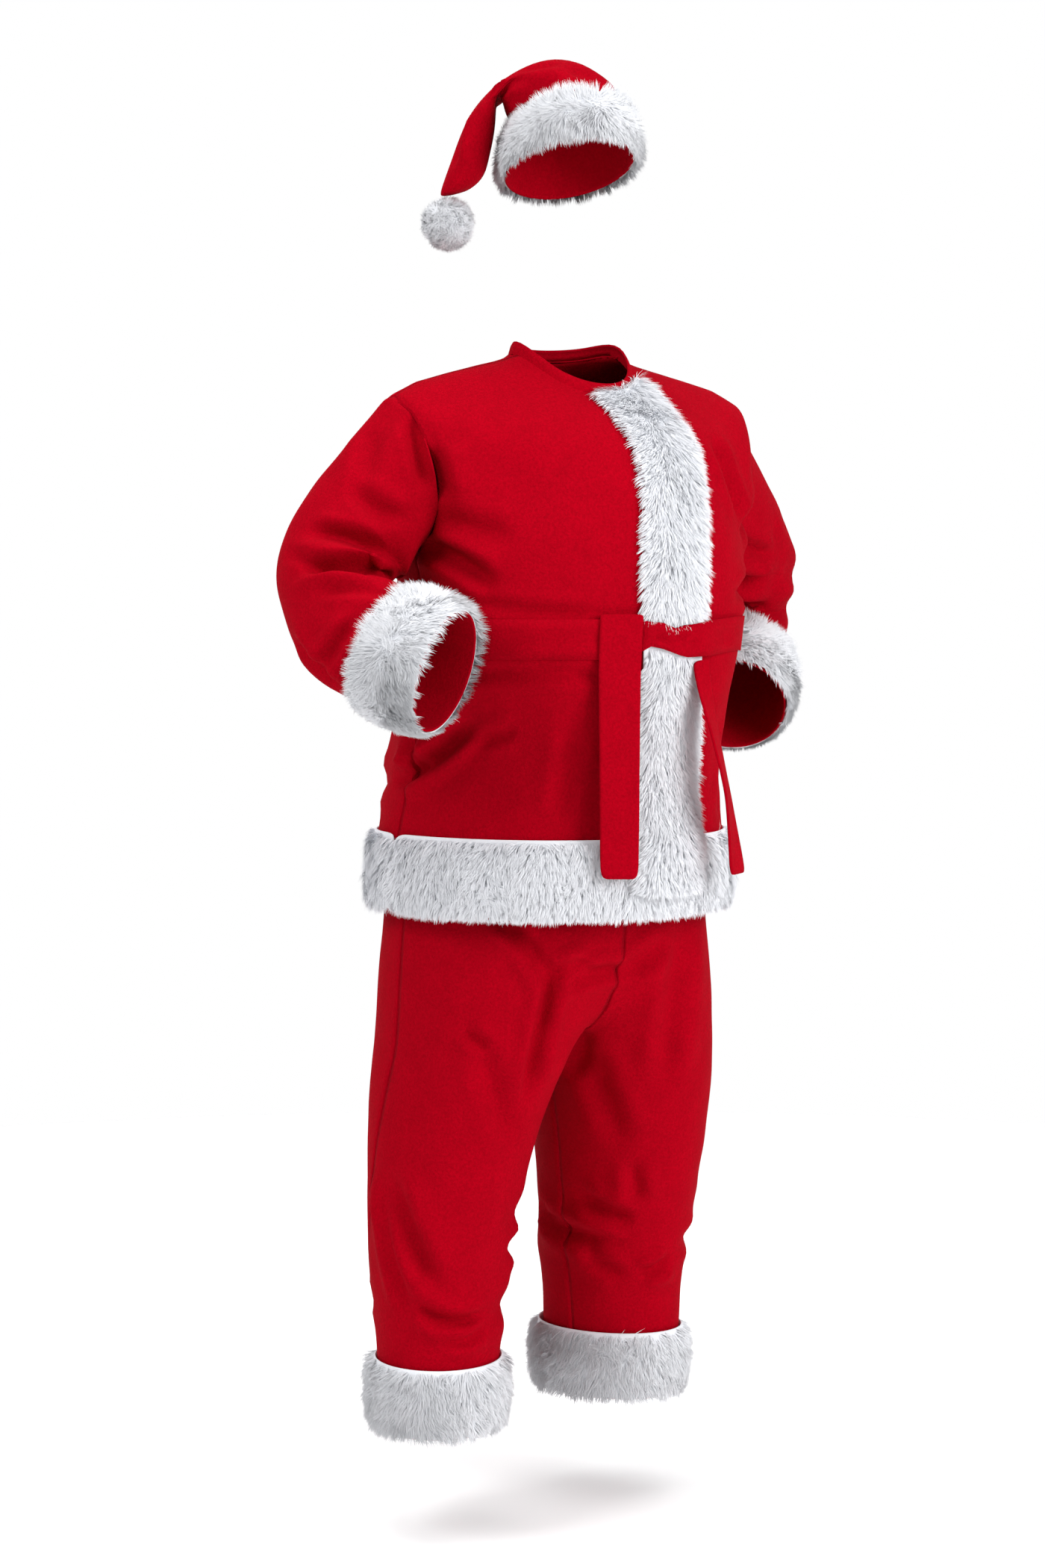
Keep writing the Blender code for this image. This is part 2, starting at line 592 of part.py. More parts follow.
def sleeve_sheet(side, stations, folds, loop):
    """A tube that starts at the armhole and turns into rings round the sleeve's middle line."""
    table = columns_of(SLEEVE_NAMES, stations)
    middle = np.stack([table["x"], table["y"], table["z"]], axis=1)
    knots = np.concatenate([[0], np.cumsum(np.linalg.norm(np.diff(middle, axis=0), axis=1))])
    knots /= knots[-1]
    shares = np.linspace(0, 1, SLEEVE_ROWS)
    centres = spline(knots, middle, shares)
    radii = spline(knots, table["radius"], shares)
    turning = smooth(shares / SLEEVE_TURN)[:, None]
    ahead = unit(np.gradient(centres, shares, axis=0))
    ahead = unit(ahead * turning + np.array([side, 0, 0]) * (1 - turning))
    top = loop[0] - centres[0]
    turns = np.arange(len(loop)) / len(loop)
    rings = np.zeros((SLEEVE_ROWS, len(loop), 3))
    for row, share in enumerate(shares):
        top = unit(top - ahead[row] * np.dot(top, ahead[row]))
        front = np.cross(ahead[row], top) * side
        angle = 2 * math.pi * turns[:, None]
        out = np.cos(angle) * top + np.sin(angle) * front
        depth = np.zeros(len(loop))
        for fold in folds:
            item = dict(zip(SLEEVE_FOLD_NAMES, fold))
            away = (turns - item["turn"] - item["slant"] * (share - item["along"]) + 0.5) % 1 - 0.5
            round_part = smooth((item["half_round"] * 1.25 - np.abs(away)) / item["half_round"])
            aside = (share - item["along"] - item["slant"] * away) / (item["width"] * 1.6)
            depth += item["depth"] * round_part * np.exp(-(aside**2))
        fade = smooth(share / 0.12) * smooth((0.86 - share) / 0.12)
        ring = centres[row] + out * (radii[row] - depth * fade)[:, None]
        blend = smooth(share / SLEEVE_BLEND)
        rings[row] = (1 - blend) * (loop + centres[row] - centres[0]) + blend * ring
    normals = ring_normals(rings, centres)
    return Sheet(rings, normals, True)


def ring_normals(rings, centres):
    """Normals of a closed tube, away from its middle."""
    around = np.roll(rings, -1, axis=1) - np.roll(rings, 1, axis=1)
    along = np.gradient(rings, axis=0)
    normals = unit(np.cross(around, along))
    away = rings - centres[:, None, :]
    if (normals * away).sum() < 0:
        normals = -normals
    return normals


def belt_tail(name, middle, half_width):
    """A hanging end of the belt: a flat strip with a middle line and a half width to its left
    edge at each point of that line."""
    middle = np.array(middle, float)
    half_width = np.array(half_width, float)
    back = np.stack([middle - half_width, middle, middle + half_width], axis=1)
    out = unit(np.cross(half_width, np.gradient(middle, axis=0)))
    out = out * np.sign(-out[:1, 1:2])
    front = back + out[:, None, :] * BELT_THICK
    solid(name, front, back, False, red_fleece)


def build_jacket():
    right = right_front_sheet()
    left = left_front_sheet()
    back = back_sheet()
    right_loop = armhole_loop(-1, right, back)
    left_loop = armhole_loop(1, left, back)
    right_sleeve = sleeve_sheet(-1, RIGHT_SLEEVE, RIGHT_FOLDS, right_loop)
    left_sleeve = sleeve_sheet(1, LEFT_SLEEVE, LEFT_FOLDS, left_loop)
    share_edge_normals([right, left, back, right_sleeve, left_sleeve])
    for sleeve in (right_sleeve, left_sleeve):
        sleeve.points[0] += SEAM * unit(sleeve.points[1] - sleeve.points[0])

    cloth("jacket_front_right", right)
    cloth("jacket_front_left", left)
    cloth("jacket_back", back)
    cloth("sleeve_right", right_sleeve)
    cloth("sleeve_left", left_sleeve)

    for name, sleeve in (("right", right_sleeve), ("left", left_sleeve)):
        trim(f"fur_cuff_{name}", sleeve.part(rows=slice(-CUFF_ROWS, None)), SEAM, FUR, white_fur,
             (True, False))

    fur_rows = slice(0, ROW_LEVELS.index(HEM_FUR_TOP) + 1)
    trim("fur_hem_right", right.part(fur_rows), SEAM, FUR, white_fur, (True, False))
    trim("fur_hem_back", back.part(fur_rows), SEAM, FUR, white_fur, (True, False))
    trim("fur_hem_left", left.part(fur_rows, slice(2, None)), SEAM, FUR, white_fur, (True, False))
    build_front_band(right)
    build_belt(right, left, back)
    build_belt_tails()
    build_binding(right, left, back)


def build_front_band(right):
    """The fur strip along the right front's edge. Its low end lies on the hem's fur, and the
    belt presses it flat."""
    first = ROW_LEVELS.index(BAND_LOW)
    sheet = right.part(slice(first, None), slice(-5, None))
    levels = levels_column[first:, None]
    on_hem = 1 - smooth((levels - HEM_FUR_TOP) / (ROW_LEVELS[5] - HEM_FUR_TOP))
    low = SEAM + on_hem * (FUR + SEAM)
    pressed = ((levels >= BELT_LOW) & (levels <= BELT_HIGH)).astype(float)
    thickness = FUR - (FUR - BAND_UNDER_BELT) * pressed
    trim("fur_front_band", sheet, low, thickness, white_fur, (False, True))


def build_belt(right, left, back):
    """The belt goes once round the waist, over the band, and its ends hang in front."""
    rows = slice(ROW_LEVELS.index(BELT_LOW), ROW_LEVELS.index(BELT_HIGH) + 1)
    left_part = left.part(rows, slice(2, None))
    around = joined_round(right.part(rows), left_part, back.part(rows).mirrored())
    columns = around.points.shape[1]
    low = np.full((2, columns), SEAM)
    right_columns = right.points.shape[1]
    low[:, right_columns - 5:right_columns] = 2 * SEAM + BAND_UNDER_BELT
    low[:, right_columns] = 2 * SEAM + BAND_UNDER_BELT * 0.5
    outside = around.points + around.normals * (low + BELT_THICK)[..., None]
    inside = around.points + around.normals * low[..., None]
    solid("belt", outside, inside, True, red_fleece, around.slant)


def build_belt_tails():
    """The end on the wearer's right comes over the belt and hangs flat, one edge lifted by the
    band. The other comes out beneath the belt and turns nearly edge on."""
    surface = jacket_surface(-1)
    middle, half_width = [], []
    for level in FLAT_TAIL_LEVELS:
        point, normal, across = on_belt(surface, FLAT_TAIL_X, max(level, BELT_LOW))
        out = 2 * SEAM + BELT_THICK + (FLAT_TAIL_LIFT - FLAT_TAIL_SAG) / 2
        point = point + normal * out
        point[2] = level
        middle.append(point)
        share = max((BELT_HIGH - level) / (BELT_HIGH - TAIL_LOW), 0)
        tilt = normal * (FLAT_TAIL_LIFT + FLAT_TAIL_SAG) / 2
        half_width.append(across * (TAIL_WIDTH - TAIL_NARROWS * share) / 2 + tilt)
    belt_tail("belt_end_flat", middle, half_width)

    point, normal, across = on_belt(surface, TURNED_TAIL_X, BELT_LOW)
    start = point + normal * (2 * SEAM + BAND_UNDER_BELT)
    start[2] -= SEAM + BELT_THICK * abs(normal[2])
    rows = columns_of(TURNED_TAIL_NAMES, TURNED_TAIL_ROWS)
    below = np.stack([rows["x"], rows["y"], rows["z"]], axis=1)
    middle = np.concatenate([[start, start - [0, 0, TURNED_TAIL_START]], below])
    angle = np.radians(rows["turn"])
    turned = np.stack([np.cos(angle), np.sin(angle), 0 * angle], axis=1) * rows["half"][:, None]
    half_width = np.concatenate([[across * TURNED_TAIL_HALF] * 2, turned])
    belt_tail("belt_end_turned", middle, half_width)


def on_belt(surface, x, level):
    """A point of the jacket's front beneath the belt, its normal, and the level way across it."""
    place = float(share_for_x(x, np.array([level]))[0])
    normal = normals_of(surface, place, level, 1)
    return surface(place, level), normal, unit(np.cross(normal, [0, 0, -1]))


def build_binding(right, left, back):
    """A narrow standing edge round the neck."""
    inside_neck = np.flatnonzero(np.abs(right.points[-1, :, 0]) < NECK_HALF + 1e-4)
    neck = [right.points[-1, column] for column in inside_neck]
    inside_neck = np.flatnonzero(np.abs(back.points[-1, :, 0]) < NECK_HALF + 1e-4)
    neck += [back.points[-1, column] for column in inside_neck[:0:-1]]
    path = np.array(neck)
    path[:, 2] += SEAM * 1.5
    middle = path.mean(axis=0)
    out = path - middle
    out[:, 2] = 0
    out = unit(out)
    rise = np.array([0, 0, BINDING_HIGH])
    outside = np.stack([path, path + rise * 0.5, path + rise - out * BINDING_LEAN])
    inside = outside - out[None] * BINDING_THICK
    solid("neck_binding", outside, inside, True, red_fleece)


# ---------------------------------------------------------------- trousers


def leg_surface(table, side, face):
    """Point on a leg's front (-1) or back (1), from 0 at the outer seam to 1 at the inner seam
    or the centre seam, at a height."""

    def place(across, z):
        across, z = np.broadcast_arrays(across, z)
        at = {name: spline(table["z"], table[name], z) for name in LEG_NAMES[1:]}
        reach = np.clip(at["x"] * side / at["half"] * -1, -1, 0)
        whole = np.where(z > CROTCH, np.arccos(reach), math.pi)
        angle = across * whole
        depth = at["front"] if face < 0 else at["back"]
        turn = np.radians(at["turn"])
        out_x = side * at["half"] * np.cos(angle)
        out_y = face * depth * np.sin(angle)
        x = at["x"] + out_x * np.cos(turn) + out_y * np.sin(turn)
        y = at["y"] - out_x * np.sin(turn) + out_y * np.cos(turn)
        return np.stack([x, y, z], axis=-1)

    return place


def leg_sheet(rows, side, face, folds):
    table = columns_of(LEG_NAMES, rows)
    across = np.linspace(0, 1, LEG_COLUMNS + 1)[None, :] + np.zeros((len(LEG_LEVELS), 1))
    heights = np.array(LEG_LEVELS)[:, None] + 0 * across
    surface = leg_surface(table, side, face)
    points, normals = surface(across, heights), normals_of(surface, across, heights, side * face)
    depth = np.zeros_like(across)
    for fold in folds:
        row = dict(zip(FOLD_NAMES, fold))
        if row["face"] == face:
            start = row["across"] * PANEL_SPAN, row["level"]
            run = row["run_across"] * PANEL_SPAN, row["run_up"]
            place = across * PANEL_SPAN
            depth += row["depth"] * trough(place, heights, start, run, row["width"])
    seams = smooth(across / LEG_SEAM_CLEAR) * smooth((1 - across) / LEG_SEAM_CLEAR)
    seams = seams * smooth((heights - LEG_FUR_TOP + 0.01) / 0.04)
    seams = seams * smooth((UNDER_JACKET - heights) / 0.05)
    points = points - normals * (depth * seams)[..., None]
    above = heights[:, -1] >= CROTCH
    points[above, -1, 0] = 0.0
    return Sheet(points, normals)


def build_trousers():
    sheets = {}
    for name, side, rows, folds in (
        ("right", -1, RIGHT_LEG, RIGHT_LEG_FOLDS),
        ("left", 1, LEFT_LEG, LEFT_LEG_FOLDS),
    ):
        for part, face in (("front", -1), ("back", 1)):
            sheets[part, name] = leg_sheet(rows, side, face, folds)
    share_edge_normals(list(sheets.values()))
    for (part, name), sheet in sheets.items():
        cloth(f"trousers_{part}_{name}", sheet)
    fur_rows = slice(0, LEG_LEVELS.index(LEG_FUR_TOP) + 1)
    for name in ("right", "left"):
        front = sheets["front", name].part(fur_rows)
        back = sheets["back", name].part(fur_rows).mirrored()
        trim(f"fur_leg_{name}", joined_round(front, back), SEAM, FUR, white_fur, (True, False))
    build_waistband(sheets)


def build_waistband(sheets):
    """A casing that stands on the top edge of the four trouser pieces."""
    top = slice(-1, None)
    around = joined_round(
        sheets["front", "right"].part(top),
        sheets["front", "left"].part(top).mirrored(),
        sheets["back", "left"].part(top),
        sheets["back", "right"].part(top).mirrored(),
    )
    low = around.points[0] + np.array([0, 0, SEAM])
    out = around.normals[0].copy()
    out[:, 2] = 0
    out = unit(out)
    rise = np.array([0, 0, WAIST_BAND])
    outside = np.stack([low, low + rise / 2, low + rise])
    inside = outside - out[None] * 2 * WALL
    solid("waistband", outside, inside, True, red_fleece)


# ---------------------------------------------------------------- hat


def direction(degrees):
    """Level direction: 0 is the wearer's left, 90 the back."""
    return np.array([math.cos(math.radians(degrees)), math.sin(math.radians(degrees)), 0.0])


def hat_ring(centre, toward_fall, wide):
    angle = 2 * math.pi * np.arange(HAT_SIDES)[:, None] / HAT_SIDES
    return centre + np.cos(angle) * toward_fall + np.sin(angle) * wide


def brim_ring(height, grow):
    """The oval round the head at a height, as two half axes that start towards the fall."""
    ahead = direction(HEAD_TURN - 90)
    aside = direction(HEAD_TURN)
    lean = math.radians(FALL_TURN - (HEAD_TURN - 90))

    def reach(angle):
        along = math.cos(angle) * (BRIM_HALF_LENGTH + grow) * ahead
        return along + math.sin(angle) * (BRIM_HALF_WIDTH + grow) * aside

    halves = [reach(lean), reach(lean + math.pi / 2)]
    tilt = [half + np.array([0, 0, BRIM_RISE * np.dot(half, ahead)]) for half in halves]
    return hat_ring(np.array([HEAD_X, HEAD_Y, height]), *tilt)


def hat_sheet():
    rings = []
    for share in (0, 1 / 3, 2 / 3, 1):
        height = BRIM_LOW + (BRIM_HIGH - BRIM_LOW) * share
        rings.append(brim_ring(height, -BRIM_TAPER * share))
    table = columns_of(HAT_NAMES, HAT_ROWS)
    fall = direction(FALL_TURN)
    wide = direction(FALL_TURN + 90)
    base = np.array([HEAD_X, HEAD_Y, 0.0])
    for row in range(len(HAT_ROWS)):
        inner = base + fall * table["in_side"][row] + [0, 0, table["in_z"][row]]
        outer = base + fall * table["out_side"][row] + [0, 0, table["out_z"][row]]
        half = (inner - outer) / 2
        rings.append(hat_ring((inner + outer) / 2, half, wide * table["half_width"][row]))
    rings = np.array(rings)
    return Sheet(rings, ring_normals(rings, rings.mean(axis=1)), True)


def build_hat():
    sheet = hat_sheet()
    cloth("hat_cone", sheet)
    trim("fur_brim", sheet.part(slice(0, 4)), SEAM, BRIM_FUR, white_fur, (True, False))
    build_pompom()


def build_pompom():
    """Short locks on a small round core."""
    shape = bmesh.new()
    bmesh.ops.create_icosphere(shape, subdivisions=2, radius=POMPOM_RADIUS)
    roots = list(shape.faces)
    bmesh.ops.inset_individual(shape, faces=roots, thickness=LOCK_GAP, depth=0.0)
    grown = bmesh.ops.extrude_discrete_faces(shape, faces=roots)
    for face in grown["faces"]:
        middle = face.calc_center_median()
        out = middle.normalized()
        for vert in face.verts:
            vert.co = middle + (vert.co - middle) * LOCK_TIP + out * POMPOM_LOCK
    end_z = min(HAT_ROWS[-1][1], HAT_ROWS[-1][3])
    below = end_z - SEAM + POMPOM_TUCK - max(vert.co.z for vert in shape.verts)
    place = direction(FALL_TURN) * POMPOM_SIDE + np.array([HEAD_X, HEAD_Y, below])
    bmesh.ops.translate(shape, verts=shape.verts, vec=Vector(place))
    bmesh.ops.recalc_face_normals(shape, faces=shape.faces)
    add_object("pompom", shape, white_fur)


clear_scene()
red_fleece = material("red_fleece", 0.47, 0.0012, 0.014, 0.95)
white_fur = material("white_fur", 0.70, 0.71, 0.74, 0.95)
hanging_point = bpy.data.objects.new("hanging_point", None)
hanging_point.location = (0.0, NECK_FORWARD, -NECK_HEIGHT)
suit.objects.link(hanging_point)
build_jacket()
build_trousers()
build_hat()
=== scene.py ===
"""Santa suit: red fleece jacket, trousers and pointed hat, trimmed with white faux fur."""

import math

import bmesh
import bpy
import numpy as np
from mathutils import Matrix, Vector, kdtree, noise
from mathutils.bvhtree import BVHTree


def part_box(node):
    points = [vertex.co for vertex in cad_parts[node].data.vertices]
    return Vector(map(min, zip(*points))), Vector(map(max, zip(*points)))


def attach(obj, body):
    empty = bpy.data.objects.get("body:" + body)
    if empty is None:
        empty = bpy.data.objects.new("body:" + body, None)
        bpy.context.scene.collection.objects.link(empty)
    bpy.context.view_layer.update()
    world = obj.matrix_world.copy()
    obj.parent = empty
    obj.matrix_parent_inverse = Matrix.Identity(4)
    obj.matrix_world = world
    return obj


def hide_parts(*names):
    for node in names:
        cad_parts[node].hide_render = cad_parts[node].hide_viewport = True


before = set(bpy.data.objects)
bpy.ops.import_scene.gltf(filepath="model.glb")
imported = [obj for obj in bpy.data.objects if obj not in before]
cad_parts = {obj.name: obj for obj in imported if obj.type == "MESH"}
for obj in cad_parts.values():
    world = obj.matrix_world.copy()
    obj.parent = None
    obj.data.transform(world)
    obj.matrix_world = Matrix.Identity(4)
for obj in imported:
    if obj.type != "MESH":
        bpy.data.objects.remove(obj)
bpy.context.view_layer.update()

# Heights below are from the floor that the wearer stands on, and places are from the point
# between the wearer's feet. The frame hangs from the base of the neck.
floor_point = Vector((0.0, 0.055, -1.475))


# ---------------------------------------------------------------- fleece
# Polyester fleece, knitted and brushed on its face. The short nap scatters light, so the cloth
# has no gloss, a pale edge where it turns away, and a faint mottle where the nap lies unevenly.


def srgb(code):
    """A hex colour as linear red, green, blue and alpha."""
    linear = []
    for place in (1, 3, 5):
        part = int(code[place:place + 2], 16) / 255
        linear.append(part / 12.92 if part <= 0.04045 else ((part + 0.055) / 1.055) ** 2.4)
    return (*linear, 1.0)


def add_node(tree, kind, links=(), **settings):
    """Adds a node, sets its properties and sockets by name, and links sockets from others."""
    node = tree.nodes.new(kind)
    for name, value in settings.items():
        if hasattr(node, name):
            setattr(node, name, value)
        else:
            node.inputs[name.replace("_", " ")].default_value = value
    for socket, source in links:
        tree.links.new(source, node.inputs[socket])
    return node


def new_material(name):
    made = bpy.data.materials.new(name)
    made.use_nodes = True
    return made, made.node_tree, made.node_tree.nodes["Principled BSDF"]


def brushed_fleece(name, light, dark):
    """light is the colour of lifted nap and dark that of nap pressed flat."""
    fleece, tree, shader = new_material(name)
    place = add_node(tree, "ShaderNodeTexCoord").outputs["Object"]
    # Nap lies in drifts about 30 mm across, in tufts of about 3 mm, of fibres under 1 mm
    drift = add_node(tree, "ShaderNodeTexNoise", [("Vector", place)], Scale=33.0, Detail=3.0)
    tufts = add_node(tree, "ShaderNodeTexNoise", [("Vector", place)], Scale=330.0, Detail=2.0)
    fibres = add_node(tree, "ShaderNodeTexNoise", [("Vector", place)], Scale=1100.0, Detail=1.0)
    lifted = add_node(
        tree, "ShaderNodeMath",
        [(0, drift.outputs["Fac"]), (1, tufts.outputs["Fac"]), (2, tufts.outputs["Fac"])],
        operation="MULTIPLY_ADD",
    )
    share = add_node(
        tree, "ShaderNodeMapRange", [("Value", lifted.outputs[0])], From_Min=0.45, From_Max=1.05,
    )
    colour = add_node(tree, "ShaderNodeMix", [("Factor", share.outputs[0])], data_type="RGBA")
    colour.inputs["A"].default_value = srgb(dark)
    colour.inputs["B"].default_value = srgb(light)
    tree.links.new(colour.outputs["Result"], shader.inputs["Base Color"])
    # A seam is a valley about 5 mm wide with the cloth puffed on both sides of it
    seam = add_node(tree, "ShaderNodeAttribute", attribute_name="seam_distance")
    valley = add_node(
        tree, "ShaderNodeMapRange", [("Value", seam.outputs["Fac"])], To_Min=0.0, To_Max=1.0,
        From_Min=0.0, From_Max=0.0045, interpolation_type="SMOOTHSTEP",
    )
    tuft_bump = add_node(
        tree, "ShaderNodeBump", [("Height", tufts.outputs["Fac"])], Strength=0.55, Distance=0.0012,
    )
    fibre_bump = add_node(
        tree, "ShaderNodeBump",
        [("Height", fibres.outputs["Fac"]), ("Normal", tuft_bump.outputs[0])],
        Strength=0.6, Distance=0.0006,
    )
    seam_bump = add_node(
        tree, "ShaderNodeBump",
        [("Height", valley.outputs[0]), ("Normal", fibre_bump.outputs[0])],
        Strength=0.8, Distance=0.0018,
    )
    tree.links.new(seam_bump.outputs[0], shader.inputs["Normal"])
    shader.inputs["Roughness"].default_value = 0.88
    shader.inputs["Specular IOR Level"].default_value = 0.02
    shader.inputs["Sheen Weight"].default_value = 0.015
    shader.inputs["Sheen Roughness"].default_value = 0.4
    shader.inputs["Sheen Tint"].default_value = srgb("#ff6a78")
    return fleece


red_fleece = brushed_fleece("brushed_polyester_fleece", "#a50015", "#920011")

# ---------------------------------------------------------------- jacket and sleeves
# Two fronts, a back and two sleeves of fleece, overlocked together with the seams pressed flat.
# The cloth is about 2 mm thick and lies in soft folds at the armholes, elbows and waist.

fleece_thick = 0.002
jacket_pieces = ["jacket_front_right", "jacket_front_left", "jacket_back"]
sleeve_pieces = ["sleeve_right", "sleeve_left"]


def add_object(name, data):
    item = bpy.data.objects.new(name, data)
    bpy.context.collection.objects.link(item)
    return item


def solid_faces(name, thickest_wall=0.0045, parallel=0.8, just_inside=1e-4):
    """A welded copy of a piece, its faces that have a wall close behind them and parallel to
    them, and the others, most of which are its cut edges."""
    piece = bmesh.new()
    piece.from_mesh(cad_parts[name].data)
    bmesh.ops.remove_doubles(piece, verts=piece.verts, dist=1e-5)
    piece.faces.ensure_lookup_table()
    tree = BVHTree.FromBMesh(piece)
    walls, edges = [], []
    for face in piece.faces:
        start = face.calc_center_median() - face.normal * just_inside
        normal = tree.ray_cast(start, -face.normal, thickest_wall)[1]
        backed = normal is not None and abs(normal.dot(face.normal)) > parallel
        (walls if backed else edges).append(face)
    return piece, walls, edges


def joined_areas(faces, sharpest=math.radians(65)):
    """The faces in groups that hang together without too sharp an edge, the largest first."""
    left, groups = set(faces), []
    while left:
        group, reached = [], [left.pop()]
        while reached:
            face = reached.pop()
            group.append(face)
            near = {
                other for edge in face.edges if edge.calc_face_angle(0.0) < sharpest
                for other in edge.link_faces
            } & left
            left -= near
            reached.extend(near)
        groups.append(group)
    return sorted(groups, key=lambda group: -sum(face.calc_area() for face in group))


def with_folds(area, others, sharpest=math.radians(60)):
    """The area and those other faces that lie in it, such as the bottoms of its folds."""
    area, found = set(area), True
    while found:
        found = [
            face for face in others if face not in area and 1 < sum(
                edge.calc_face_angle(math.pi) < sharpest
                and any(near in area for near in edge.link_faces) for edge in face.edges
            )
        ]
        area.update(found)
    return area


def outer_skin(names, weld=0.0012, open_weld=0.0036, hole_sides=14):
    """The outer faces of several pieces, welded along their seams. What stays open is welded
    from further, and the small holes left are filled. Each face's material index is its
    piece's place in names."""
    skin = bmesh.new()
    for number, name in enumerate(names):
        piece, walls, edges = solid_faces(name)
        outer = with_folds(joined_areas(walls)[0], edges)
        others = [face for face in piece.faces if face not in outer]
        bmesh.ops.delete(piece, geom=others, context="FACES")
        for face in piece.faces:
            face.material_index = number
        step = bpy.data.meshes.new("step")
        piece.to_mesh(step)
        piece.free()
        skin.from_mesh(step)
        bpy.data.meshes.remove(step)
    bmesh.ops.remove_doubles(skin, verts=skin.verts, dist=weld)
    open_ends = [vert for vert in skin.verts if vert.is_boundary]
    bmesh.ops.remove_doubles(skin, verts=open_ends, dist=open_weld)
    open_edges = [edge for edge in skin.edges if edge.is_boundary]
    for face in bmesh.ops.holes_fill(skin, edges=open_edges, sides=hole_sides)["faces"]:
        near = [other for edge in face.edges for other in edge.link_faces if other is not face]
        face.material_index = near[0].material_index
        face.normal_update()
        if face.normal.dot(near[0].normal) < 0:
            face.normal_flip()
    bmesh.ops.join_triangles(
        skin, faces=skin.faces, cmp_materials=True,
        angle_face_threshold=math.pi, angle_shape_threshold=math.pi,
    )
    return skin


def subdivided(skin, levels, corners="PRESERVE_CORNERS"):
    """The bmesh as a smoother mesh, whose corners stay sharp unless corners is ALL."""
    step = bpy.data.meshes.new("step")
    skin.to_mesh(step)
    skin.free()
    item = add_object("step", step)
    finer = item.modifiers.new("finer", "SUBSURF")
    finer.levels = finer.render_levels = levels
    finer.boundary_smooth = corners
    view = bpy.context.evaluated_depsgraph_get()
    made = bpy.data.meshes.new_from_object(item.evaluated_get(view))
    bpy.data.objects.remove(item)
    bpy.data.meshes.remove(step)
    return made


def points_of(mesh):
    points = np.empty(len(mesh.vertices) * 3, np.float32)
    mesh.vertices.foreach_get("co", points)
    return points.reshape(-1, 3).astype(float)


def set_points(mesh, points):
    mesh.vertices.foreach_set("co", np.asarray(points, np.float32).ravel())
    mesh.update()


def normals_of(mesh):
    normals = np.empty(len(mesh.vertices) * 3, np.float32)
    mesh.vertex_normals.foreach_get("vector", normals)
    return normals.reshape(-1, 3).astype(float)


def unit(ways):
    return ways / np.maximum(np.linalg.norm(ways, axis=1, keepdims=True), 1e-9)


def nearest(points):
    """A tree that finds the nearest of the points."""
    tree = kdtree.KDTree(len(points))
    for number, point in enumerate(points):
        tree.insert(point, number)
    tree.balance()
    return tree


def smooth(share):
    share = np.clip(share, 0.0, 1.0)
    return share * share * (3 - 2 * share)


def keep_outward(mesh):
    """Keeps the way that each vertex faces before any crease is pressed in."""
    outward = mesh.attributes.new("outward", "FLOAT_VECTOR", "POINT")
    outward.data.foreach_set("vector", normals_of(mesh).astype(np.float32).ravel())


def outward_of(mesh):
    outward = np.empty(len(mesh.vertices) * 3, np.float32)
    mesh.attributes["outward"].data.foreach_get("vector", outward)
    return unit(outward.reshape(-1, 3).astype(float))


def seam_points(shape, group_of, an_edge):
    """Points along the edges between faces of different groups, so many on an edge. group_of
    gives the group of a piece's number."""
    return [
        edge.verts[0].co.lerp(edge.verts[1].co, step / an_edge) for edge in shape.edges
        if len({group_of(face.material_index) for face in edge.link_faces}) > 1
        for step in range(an_edge)
    ]


def keep_seam_distance(mesh, farthest=0.03):
    """Keeps each vertex's distance to the nearest seam, for the seams' valleys."""
    shape = bmesh.new()
    shape.from_mesh(mesh)
    seams = seam_points(shape, lambda number: number, 6)
    distance = np.full(len(mesh.vertices), farthest)
    if seams:
        near = nearest(seams)
        for number, vert in enumerate(shape.verts):
            distance[number] = min(near.find(vert.co)[2], farthest)
    shape.free()
    kept = mesh.attributes.new("seam_distance", "FLOAT", "POINT")
    kept.data.foreach_set("value", distance.astype(np.float32))


def relax(mesh, weight, rounds, share=0.6):
    """Moves each vertex towards the middle of its neighbours, by a share of the way and by its
    weight. Open edges stay."""
    shape = bmesh.new()
    shape.from_mesh(mesh)
    edge_ends = np.array([[vert.index for vert in edge.verts] for edge in shape.edges])
    open_ends = [vert.index for vert in shape.verts if vert.is_boundary]
    shape.free()
    points = points_of(mesh)
    counts = np.bincount(edge_ends.ravel(), minlength=len(points))[:, None]
    weight = np.broadcast_to(weight, len(points)).copy()
    weight[open_ends] = 0.0
    for _ in range(rounds):
        total = np.zeros_like(points)
        np.add.at(total, edge_ends[:, 0], points[edge_ends[:, 1]])
        np.add.at(total, edge_ends[:, 1], points[edge_ends[:, 0]])
        points += (total / counts - points) * share * weight[:, None]
    set_points(mesh, points)


def round_over(mesh, numbers, reach, rounds):
    """Smooths the cloth over the seams that join the pieces in numbers to the others, as
    brushed fleece bridges a seam. reach is how far from the seam, in metres."""
    shape = bmesh.new()
    shape.from_mesh(mesh)
    near = nearest(seam_points(shape, lambda number: number in numbers, 3))
    weight = np.array([1 - near.find(vert.co)[2] / reach for vert in shape.verts])
    shape.free()
    relax(mesh, smooth(weight), rounds)


def one_piece(mesh, number, more_levels):
    """The faces of one cut piece as a mesh of its own, made finer by more levels."""
    shape = bmesh.new()
    shape.from_mesh(mesh)
    others = [face for face in shape.faces if face.material_index != number]
    bmesh.ops.delete(shape, geom=others, context="FACES")
    for face in shape.faces:
        face.material_index = 0
        face.smooth = True
    return subdivided(shape, more_levels)


crease_names = ("facing", "across", "up", "to_across", "to_up", "bow", "width", "depth")
